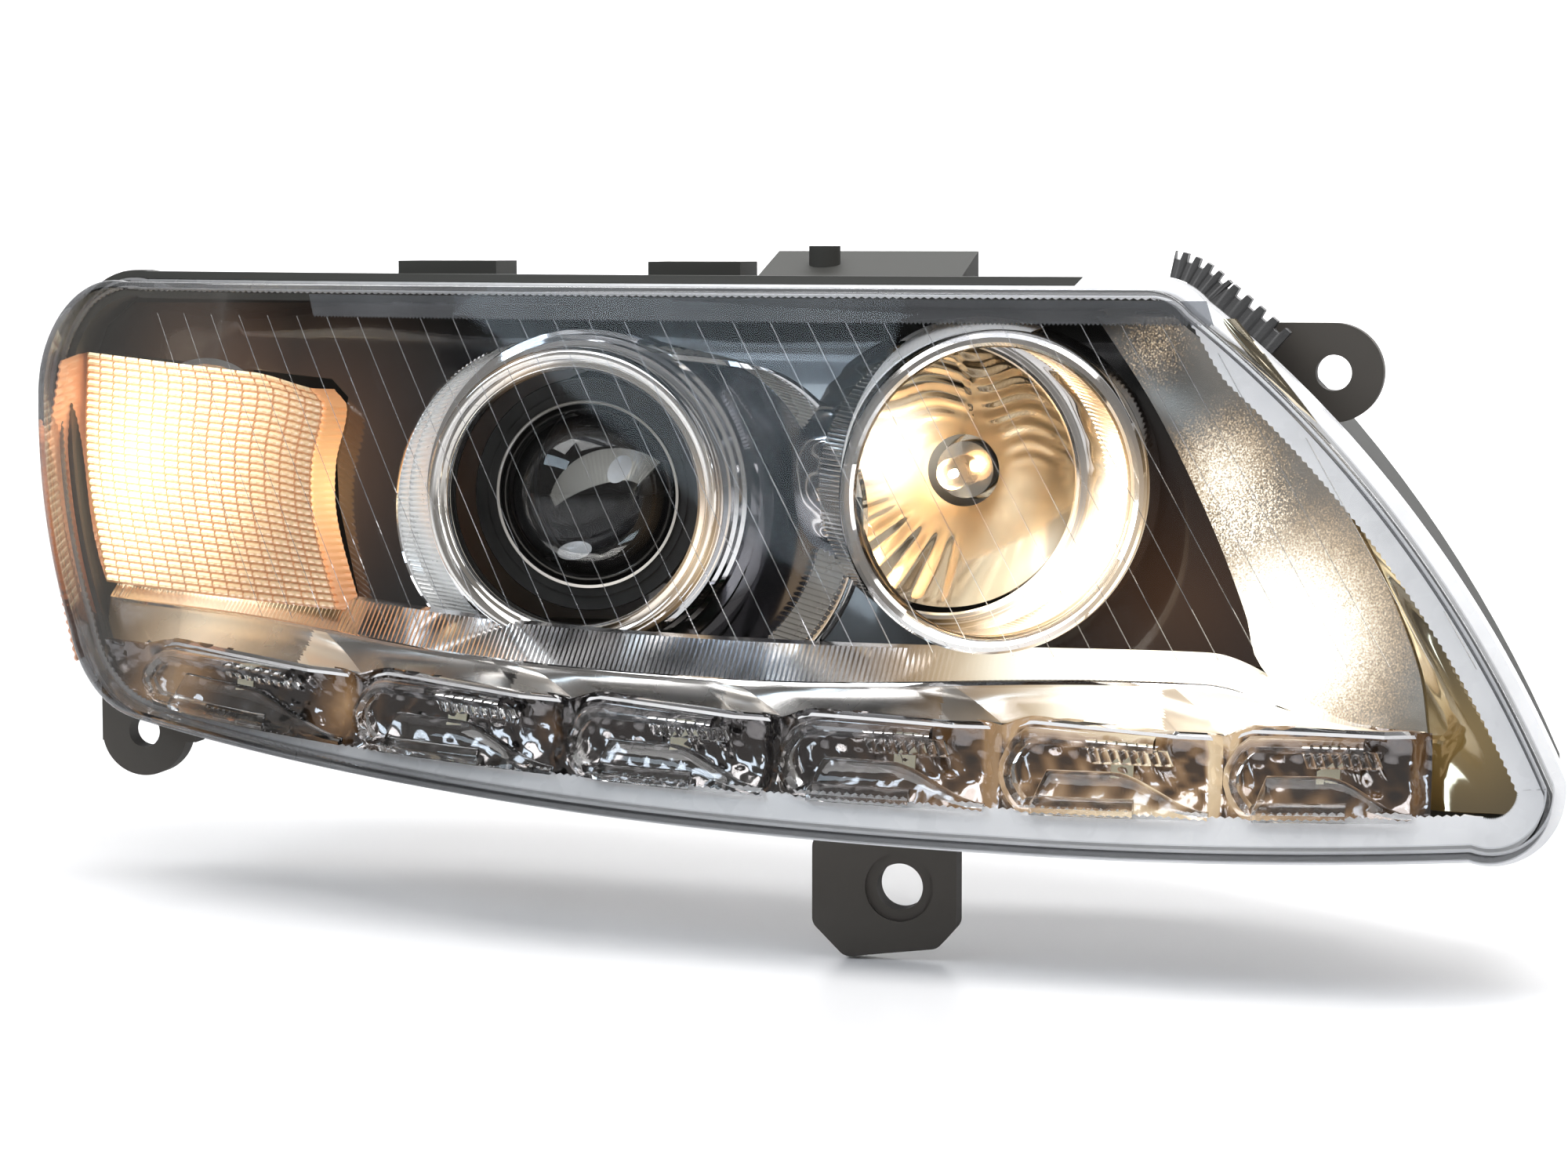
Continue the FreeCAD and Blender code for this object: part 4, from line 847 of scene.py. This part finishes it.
make_projector_ring()
make_projector_bowl()
make_lens_retainer()
make_fan()

# ---------------------------------------------------------------- high beam ring and reflector

HIGH_BOWL, HIGH_FRONT, HIGH_APEX, HIGH_NECK = 49.5, 74, 118, 14


def make_high_ring():
    """Oblique funnel from the reflector's rim out to a round front ring just behind the lens."""
    piece = Piece()
    steps = 720
    aperture = [(50.6, 62.4), (51.4, 61), (52.6, 60.4), (53, 61.8), (54.4, 61.8), (54.8, 60), (55.6, 60)]
    rings = [circle(HIGH_X, HIGH_Z, r, y, steps) for r, y in aperture]
    front = circle(HIGH_RING_X, HIGH_Z, 50.6, lambda x, z: lens_y(x, z) + 13, steps)
    base = rings[-1]

    def crumple(loop, size):
        made = []
        for a, (x, y, z) in zip(angles(steps), loop):
            made.append((x, y + size * math.sin(17 * a + 2 * math.sin(5 * a)) * math.cos(8 * a), z))
        return made

    for share, size in ((0.08, 1), (0.18, 1.6), (0.28, 1.6), (0.38, 0.9)):
        rings.append(crumple(blend_loops(base, front, share), size))
    rings.append(blend_loops(base, front, 0.44))
    rings.append(ribs(blend_loops(base, front, 0.46), 0.7))
    rings.append(ribs(blend_loops(base, front, 0.9), 0.7))
    rings.append(blend_loops(base, front, 0.93))
    rings.append(front)
    bead = [(51.2, 10.4), (52.4, 9), (54.2, 8.4), (55.8, 9), (56.7, 10.6), (56.9, 13), (56.9, 18)]
    for radius, depth in bead:
        rings.append(circle(HIGH_RING_X, HIGH_Z, radius, lambda x, z: lens_y(x, z) + depth, steps))
    bands = [0] * 11 + [1, 1, 1] + [0] * 9
    piece.rows([ring + ring[:1] for ring in rings], finish=lambda i, j: bands[i])
    piece.object("high_beam_ring_chrome", "lamp_housing", [HIGH_CHROME, HIGH_RIBBED],
                 replaces=["high_beam_ring"], sharp=25, thickness=0.8)


def make_high_reflector():
    """Bowl with rippled facets in its upper half and fan facets low on the left."""
    piece = Piece()
    steps, rounds = 180, 40
    rings = []
    for ring in range(rounds + 1):
        radius = between(HIGH_NECK, HIGH_BOWL, ring / rounds)
        depth = HIGH_APEX - (HIGH_APEX - HIGH_FRONT) * (radius / HIGH_BOWL) ** 2
        points = []
        for a in angles(steps):
            x, z = radius * math.cos(a), radius * math.sin(a)
            fade = smooth((radius - 16) / 8) * smooth((HIGH_BOWL - radius) / 3)
            wave = 0
            if z > 0:
                phase = z / 6.5 + 0.35 * math.sin(x / 6) + (0.5 if x > 4 else 0)
                wave = 1.5 * (abs(phase % 1 - 0.5) - 0.25) * smooth(z / 8)
            elif x < 0:
                wave = 1.6 * (abs((a * 4.2) % 1 - 0.5) - 0.25) * smooth((radius - 22) / 10)
            points.append((HIGH_X + x, depth + wave * fade, HIGH_Z + z))
        rings.append(points)
    rings.append(circle(HIGH_X, HIGH_Z, HIGH_BOWL + 0.2, HIGH_FRONT + 0.4, steps))
    back = []
    for radius in (HIGH_BOWL + 0.2, 40, 28, HIGH_NECK + 1):
        y = HIGH_APEX + 1.6 - (HIGH_APEX - HIGH_FRONT) * (radius / HIGH_BOWL) ** 2
        back.append(circle(HIGH_X, HIGH_Z, radius, max(y, HIGH_FRONT + 1.8), steps))
    piece.ring(rings + back)
    piece.object("high_beam_reflector_bowl", "carrier", [BOWL_CHROME],
                 replaces=["high_beam_reflector"], sharp=20)


def make_high_sleeve():
    """Sleeve from the front ring back to the bezel, flared and finely ribbed at its upper left."""
    piece = Piece()
    steps = 720

    def flare(j):
        return max(0, math.cos(2 * math.pi * j / steps - math.radians(132))) ** 4

    def edge(radius, reach, depth, rib):
        points = []
        for j, a in enumerate(angles(steps)):
            r = radius + reach * flare(j)
            x, z = HIGH_RING_X - 3 * flare(j) + r * math.cos(a), HIGH_Z + r * math.sin(a)
            points.append(behind(x, z, depth + (rib if j % 4 < 2 else 0)))
        return points

    rings = [edge(57, 0.4, 17, 0), edge(57.1, 1.5, 19, 0.5), edge(57.2, 7, 42, 0.5), edge(57.3, 8, 43, 0),
             edge(57.3, 8.4, 46, 0), edge(56.8, 6, 50, 0)]
    piece.rows([ring + ring[:1] for ring in rings], finish=lambda i, j: 0 if flare(j % steps) > 0.12 else 1)
    piece.object("high_beam_sleeve", "lamp_housing", [CRESCENT, GLOSS],
                 sharp=25, thickness=0.6)


make_high_ring()
make_high_reflector()
make_high_sleeve()


def coil(name, body, at, radius, finish, along=(0, 1, 0)):
    """Filament wound round an axis, about a point."""
    piece = Piece()
    length, wire, turns, steps = 6, 0.35, 7, 14
    axis = Vector(along).normalized()
    side = axis.orthogonal().normalized()
    up = axis.cross(side)
    rings = []
    count = turns * steps
    for index in range(count + 1):
        a = 2 * math.pi * index / steps
        out = side * math.cos(a) + up * math.sin(a)
        middle = Vector(at) + axis * (length * (index / count - 0.5)) + out * radius
        rings.append([middle + (out * math.cos(b) + axis * math.sin(b)) * wire for b in angles(6)])
    piece.tube(rings)
    piece.object(name, body, [finish])


def bulb_tip(node, reach):
    """Point a reach behind the front of a bulb, on its axis."""
    low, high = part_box(node)
    return ((low.x + high.x) / 2 / MM, low.y / MM + reach, (low.z + high.z) / 2 / MM)


coil("high_beam_filament", "carrier", bulb_tip("high_beam_bulb", 9), 1.1, FILAMENT)
coil("turn_filament", "turn_socket", bulb_tip("turn_bulb", 8), 1, AMBER_FILAMENT, (1, 0, 0))

# ---------------------------------------------------------------- chrome brow over the running lights

CUSPS = [(-328, 69), (-221, 65), (-128, 61.5), (-44, 59), (39, 60), (119, 59), (189, 62)]
FACET_LEAN = 20
LOWER_EDGE = [(-356, 53), (-315, 46), (-230, 39.5), (-132, 35), (-38, 32), (49, 31), (142, 32), (205, 35),
              (224, 42)]


def scallop(x):
    """Lower edge of the brow: it rises just after each cusp and then falls to the next."""
    if x < CUSPS[0][0]:
        return between(52, CUSPS[0][1] + 1, smooth((x + 342) / 14))
    for (x0, z0), (x1, z1) in zip(CUSPS, CUSPS[1:]):
        if x <= x1:
            s = (x - x0) / (x1 - x0)
            return between(z0, z1, s) + 3.4 * smooth(s / 0.16) * (1 - s) ** 0.6
    return CUSPS[-1][1]


def tooth(x):
    """How far the facets stand out at x: out along each cell, back in at its end."""
    for (x0, _), (x1, _) in zip(CUSPS, CUSPS[1:]):
        if x0 <= x <= x1:
            s = (x - x0) / (x1 - x0)
            return 10 * s if s < 0.8 else 10 * (1 - s) / 0.2 * 0.8
    return 0


def make_brow():
    piece = Piece()
    left, right, step = -356, 189, 1.0
    count = int((right - left) / step)
    parts = 14
    rows = [[] for _ in range(parts + 8)]
    for index in range(count + 1):
        low_x = left + index * step
        top_x = max(left, low_x - FACET_LEAN * smooth((low_x - left) / 30))
        top_z = curve_at(BROW_TOP, top_x)
        tip = smooth((low_x - 130) / 59)
        top_z = between(top_z, 63.5, tip * 0.98)
        height = between(9, 12, smooth((top_x + 300) / 120)) - 4 * smooth((top_x + 60) / 140)
        height *= 1 - tip
        rib = 0.8 if index % 2 else 0
        low_z = scallop(low_x)
        out = tooth(low_x)
        fold_z = top_z - height - 1.5 * (1 - tip)
        rows[0].append(behind(top_x, top_z + 1, 50))
        rows[1].append(behind(top_x, top_z, 46 + rib))
        rows[2].append(behind(top_x, top_z - height, 32 + rib))
        rows[3].append(behind(top_x + 0.4, top_z - height - 0.4 * (1 - tip), 31))
        rows[4].append(behind(top_x + 1, fold_z, 30.5))
        for part in range(1, parts):
            share = part / parts
            x, z = between(top_x + 1, low_x, share), between(fold_z, low_z + 2, share)
            scoop = 2.1 * math.sin(math.pi * share)
            rows[4 + part].append(behind(x, z, 30 - 3 * share - out * share + scoop))
        lip = ((2, 27 - out), (0.8, 25.8 - out), (-0.4, 26.2 - out), (-0.9, 29))
        for row, (lift, depth) in enumerate(lip, 4 + parts):
            rows[row].append(behind(low_x, low_z + lift, depth))

    def finish(i, j):
        if i < 4 or i >= 4 + parts:
            return 1 if i < 2 else 0
        x = left + j * step
        # Painted light: past a slanting line in each cell the facet takes the paler facet finish, a lit copy
        # of the brushed chrome.
        start = 0.93 - 0.2 * (i - 4) / parts
        painted_lit_part = any(x0 + start * (x1 - x0) < x < x1 for (x0, _), (x1, _) in zip(CUSPS, CUSPS[1:]))
        return 3 if painted_lit_part else 2

    piece.rows(rows, finish=finish)
    piece.object("trim_strip_chrome", "lamp_housing", [CHROME, BROW_RIBBED, BRUSHED, FACET],
                 replaces=["trim_strip"], sharp=22, thickness=1.2)


make_brow()

# ---------------------------------------------------------------- toothed strip at the upper inner corner


def make_corner_strip():
    """Curved strip with upright teeth over the upper inner corner, behind the rim."""
    piece = Piece()
    fine = lamp_outline(0.5)
    inner, outer, teeth = grown(fine, 4.2), grown(fine, 11), grown(fine, 14)
    run = [index for index, (x, z) in enumerate(fine) if x > 90 and z > 189]
    sections = []
    for count, index in enumerate(run):
        edge = teeth[index] if count % 12 < 6 else outer[index]
        near = inner[index]
        sections.append([behind(near[0], near[1], 41.5), behind(edge[0], edge[1], 42.5),
                         behind(edge[0], edge[1], 51), behind(near[0], near[1], 52)])
    piece.tube(sections)
    piece.object("corner_strip_toothed", "lamp_housing", [BLACK], replaces=["corner_strip"],
                 sharp=30)


make_corner_strip()

# ---------------------------------------------------------------- running light cells


def cell_span(index):
    return CUSPS[index][0], CUSPS[index + 1][0]


def make_cell_reflector():
    """Rippled bright tray behind the six cells."""
    piece = Piece()
    rows = [[] for _ in range(15)]
    x = -350
    while x <= 192:
        top = scallop(min(max(x, -327), 188)) + 2
        bottom = curve_at(LOWER_EDGE, x) + 0.5
        cell = next((i for i in range(6) if cell_span(i)[0] <= x <= cell_span(i)[1]), None)
        share = 0 if cell is None else (x - cell_span(cell)[0]) / (cell_span(cell)[1] - cell_span(cell)[0])
        for row in range(15):
            s = row / 14
            z = between(top, bottom, s)
            bow = 5.5 * math.sin(math.pi * s) ** 0.6
            wall = 5
            if cell is not None:
                wall = 5 * (1 - smooth(share / 0.1)) + 4 * smooth((share - 0.92) / 0.08)
            wall *= smooth((1 - s) / 0.12)
            ripple = 0.9 * math.sin(x / 2.1 + 1.8 * math.sin(z / 3)) * math.sin(z / 1.3 + x / 15)
            rows[row].append(behind(x, z, 23.5 + bow - wall + ripple))
        x += 1.2
    piece.rows(rows)
    piece.object("light_tray_chrome", "lamp_housing", [TRAY], replaces=["light_tray"],
                 sharp=60, thickness=0.8)


def make_light_guides():
    """Clear moulding of each cell: horseshoe wall, ledge and a block of upright flutes."""
    piece = Piece()
    for index in range(6):
        left, right = cell_span(index)
        width = right - left
        path = []
        for step in range(33):
            s = step / 32
            if s < 0.42:
                x = between(right - 0.3 * width, left + 9, s / 0.42)
                z = scallop(x) - 4
            elif s < 0.62:
                turn = (s - 0.42) / 0.2
                x = left + 9 - 6 * math.sin(math.pi * turn)
                z = between(scallop(left + 9) - 4, curve_at(LOWER_EDGE, left + 9) + 4, turn)
            else:
                x = between(left + 9, left + 0.62 * width, (s - 0.62) / 0.38)
                z = curve_at(LOWER_EDGE, x) + 4
            path.append((x, z))
        rings = []
        for step, (x, z) in enumerate(path):
            x0, z0 = path[max(0, step - 1)]
            x1, z1 = path[min(len(path) - 1, step + 1)]
            across = Vector((z1 - z0, x0 - x1)).normalized() * 2.2
            rings.append([behind(x + across.x * side, z + across.y * side, depth)
                          for side, depth in ((1, 18), (0, 16.2), (-1, 18), (-1.3, 24), (1.3, 24))])
        piece.tube(rings)
        add_ledge(piece, left, right)
        add_flutes(piece, left, right)
    piece.object("running_light_guides", "lamp_housing", [PRISM], replaces=["light_guides"],
                 sharp=40)


def add_ledge(piece, left, right):
    """Lower block of a cell, stepped along its top and falling away to the right."""
    width = right - left
    rings = []
    for step in range(25):
        s = step / 24
        x = between(left + 0.16 * width, right - 4, s)
        floor = curve_at(LOWER_EDGE, x) + 1.5
        roof = between(floor + 15, floor + 2.5, smooth((s - 0.45) / 0.55))
        roof = between(floor + 3, roof, smooth(s / 0.08))
        front = 17 + (0.5 if step % 2 else 0)
        rings.append([behind(x, floor, front), behind(x, between(floor, roof, 0.5), front - 1.4),
                      behind(x, roof - 1, front + 0.4), behind(x, roof, front + 1.5), behind(x, roof, 22),
                      behind(x, floor, 22)])
    piece.tube(rings)


def add_flutes(piece, left, right):
    """Eight leaning half-round flutes."""
    width = right - left
    for flute in range(8):
        x = left + width * (0.42 + 0.045 * flute)
        top = scallop(x) - 5.5
        foot = between(curve_at(LOWER_EDGE, x) + 19, top - 4, 0.15)
        rings = []
        for share in (0, 1):
            z = between(top, foot, share)
            lean = x + 2.2 * share
            half_round = [math.pi * corner / 8 for corner in range(9)]
            rings.append([behind(lean + 2 * math.cos(a), z, 21 - 2 * math.sin(a)) for a in half_round]
                         + [behind(lean - 2, z, 23), behind(lean + 2, z, 23)])
        piece.tube(rings)


make_cell_reflector()
make_light_guides()

# ---------------------------------------------------------------- turn signal


def turn_edge(side, s):
    """Left or right edge of the turn signal lens at share s of its height from the top."""
    if side == "left":
        return curve_at([(0, -388), (0.5, -381), (1, -362)], s)
    return curve_at([(0, -254), (0.08, -247), (0.35, -250), (0.6, -247), (1, -232)], s)


def make_turn_optic():
    """Lens of small pillow prisms in rows."""
    piece = Piece()
    rows_of, columns, cut = 32, 34, 3
    table = []
    for i in range(rows_of * cut + 1):
        s = i / (rows_of * cut)
        row = []
        for j in range(columns * cut + 1):
            t = j / (columns * cut)
            x = between(turn_edge("left", s), turn_edge("right", s), t)
            slope = 5 * smooth((t - 0.72) / 0.28)
            z = between(between(185, 177, t), between(91.5, 88.5, t), s) - slope * (1 - s) * 0.8
            pillow = math.sin(math.pi * ((i / cut) % 1)) * (0.3 + 0.7 * math.sin(math.pi * ((j / cut) % 1)))
            edge = 13 * smooth((t - 0.95) / 0.05)
            row.append(behind(x, z, 37.5 - 2.1 * pillow + edge))
        table.append(row)

    # Painted light and shade: each pillow row takes the bright, the middle and the deep copy of the turn glow
    # in turn, every second pillow column edge takes the deep copy, and the edge strip takes the rim glow.
    def finish(i, j):
        if j >= 0.95 * columns * cut:
            return 3
        return 2 if i % cut == 2 or j % (2 * cut) == 0 else (1, 0)[i % cut]

    piece.rows(table, finish=finish)
    piece.object("turn_optic_prisms", "lamp_housing", [TURN_GLOW, TURN_PAINTED_LIT, TURN_PAINTED_SHADE, TURN_RIM],
                 replaces=["turn_optic"], sharp=50, thickness=1.5)


def make_turn_wall():
    """Ribbed side wall between the turn signal lens and the outer edge of the lamp."""
    piece = Piece()
    rows = [[], [], []]
    for index in range(141):
        s = index / 140
        z = between(186, 66, s)
        outer = curve_at([(0, -390), (0.35, -392), (0.7, -380), (1, -362)], s)
        rib = 1.4 if index % 4 < 2 else 0
        rows[0].append(behind(turn_edge("left", min(1, s * 1.25)) - 1, z, 40))
        rows[1].append(behind(between(outer, turn_edge("left", min(1, s * 1.25)), 0.5), z - 2, 26 + rib))
        rows[2].append(behind(outer, z - 4, 12 + rib))
    piece.rows(rows)
    piece.object("turn_side_wall", "lamp_housing", [TURN_WALL], sharp=20, thickness=0.8)


make_turn_optic()
make_turn_wall()

# ---------------------------------------------------------------- satin panel and mirrored side wall

SATIN_EDGE = [(0, 107), (30, 133), (60, 154), (90, 172), (120, 185), (142, 189)]
OUTER_EDGE = [(0, 117), (30, 143), (60, 166), (90, 187), (120, 205), (150, 220), (168, 224)]


def panel(rows, columns, top, bottom, edges, depth):
    """Rows of points from top to bottom between two edges; edges depend on z, the depth on share and z."""
    table = []
    for index in range(rows + 1):
        z = between(top, bottom, index / rows)
        left, right = edges(z)
        shares = [column / columns for column in range(columns + 1)]
        table.append([behind(between(left, right, t), z, depth(t, z)) for t in shares])
    return table


def make_satin_panel():
    def edges(z):
        left = curve_at([(206 - b, a) for a, b in WEDGE] + [(142, 150)], 206 - z) - 3
        right = curve_at(SATIN_EDGE, 205 - z)
        return min(left, right - 1), right

    piece = Piece()
    piece.rows(panel(36, 20, 205, 63, edges, lambda t, z: 47 - 15 * t ** 1.6))
    piece.object("satin_panel_blasted", "lamp_housing", [SATIN], replaces=["satin_panel"],
                 thickness=1.2)


def make_mirror_wall():
    def edges(z):
        return curve_at(SATIN_EDGE + [(150, 189), (168, 186)], 205 - z), curve_at(OUTER_EDGE, 205 - z)

    def depth(t, z):
        fold = 1.6 * math.sin(z / 9 + 5 * t) * math.sin(math.pi * t)
        return 33 - 10 * t - 3 * math.sin(math.pi * t) + fold

    piece = Piece()
    piece.rows(panel(44, 12, 205, 38, edges, depth))
    piece.object("mirror_wall_bright", "lamp_housing", [MIRROR], replaces=["mirror_wall"],
                 thickness=1)


make_satin_panel()
make_mirror_wall()

# ---------------------------------------------------------------- camera, light and floor

TARGET = Vector((-0.049, 0.025, 0.105))
AZIMUTH, ELEVATION, DISTANCE = math.radians(12), math.radians(5), 1.5
FOCAL, SENSOR = 93.4, 36


def add_camera():
    data = bpy.data.cameras.new("camera")
    data.lens, data.sensor_width = FOCAL, SENSOR
    data.clip_start, data.clip_end = 0.01, 50
    camera = bpy.data.objects.new("camera", data)
    back = Vector((math.sin(AZIMUTH) * math.cos(ELEVATION), -math.cos(AZIMUTH) * math.cos(ELEVATION),
                   math.sin(ELEVATION)))
    camera.location = TARGET + back * DISTANCE
    camera.rotation_mode = "QUATERNION"
    camera.rotation_quaternion = (-back).to_track_quat("-Z", "Y")
    bpy.context.scene.collection.objects.link(camera)
    bpy.context.scene.camera = camera


def add_light(name, at, aim, size, power, colour=(1, 1, 1)):
    data = bpy.data.lights.new(name, "AREA")
    data.shape = "RECTANGLE"
    data.size, data.size_y = size
    data.energy, data.color = power, colour
    light = bpy.data.objects.new(name, data)
    light.location = at
    light.rotation_mode = "QUATERNION"
    light.rotation_quaternion = (Vector(aim) - Vector(at)).to_track_quat("-Z", "Y")
    bpy.context.scene.collection.objects.link(light)


def add_floor():
    low = cad_box[0].z - 0.001
    mesh = bpy.data.meshes.new("floor")
    sweep = [(-7, low), (5.4, low), (6, low + 0.12), (6.4, low + 0.5), (6.6, low + 1.2), (6.6, low + 5)]
    points = [(x, y, z) for y, z in sweep for x in (-8, 8)]
    mesh.from_pydata(points, [], [(2 * i, 2 * i + 1, 2 * i + 3, 2 * i + 2) for i in range(len(sweep) - 1)])
    for face in mesh.polygons:
        face.use_smooth = True
    finish = material("pale_floor", (0.86, 0.86, 0.87), 0.35)
    colour_variation(finish, 2, (0.85, 0.85, 0.86), (0.87, 0.87, 0.88))
    mesh.materials.append(finish)
    floor = bpy.data.objects.new("floor", mesh)
    bpy.context.scene.collection.objects.link(floor)


def add_world():
    world = bpy.data.worlds.new("studio")
    world.use_nodes = True
    world.node_tree.nodes["Background"].inputs["Color"].default_value = (0.9, 0.87, 0.83, 1)
    world.node_tree.nodes["Background"].inputs["Strength"].default_value = 0.25
    bpy.context.scene.world = world


add_camera()
add_light("top_softbox", (0.1, -0.3, 1.5), (-0.05, 0.05, 0.1), (1.6, 0.9), 22)
add_light("left_softbox", (-1.2, -0.8, 1.9), (-0.1, 0, 0.1), (0.8, 0.8), 12)
add_light("bezel_sheen", (-1.39, -1.17, 1.2), (-0.1, 0.05, 0.19), (1.1, 0.36), 7, (0.72, 0.87, 1.0))
add_light("right_softbox", (1.9, -0.5, 0.9), (0, 0, 0.1), (0.6, 1.2), 8)
add_light("floor_wash", (0, 2.4, 2.2), (0, 2.9, 0), (4, 1.6), 110)
add_light("back_wash", (0, 4.4, 2.6), (0, 6.5, 0.4), (6, 1), 260)
add_floor()
add_world()
bpy.context.scene.view_settings.view_transform = "Standard"
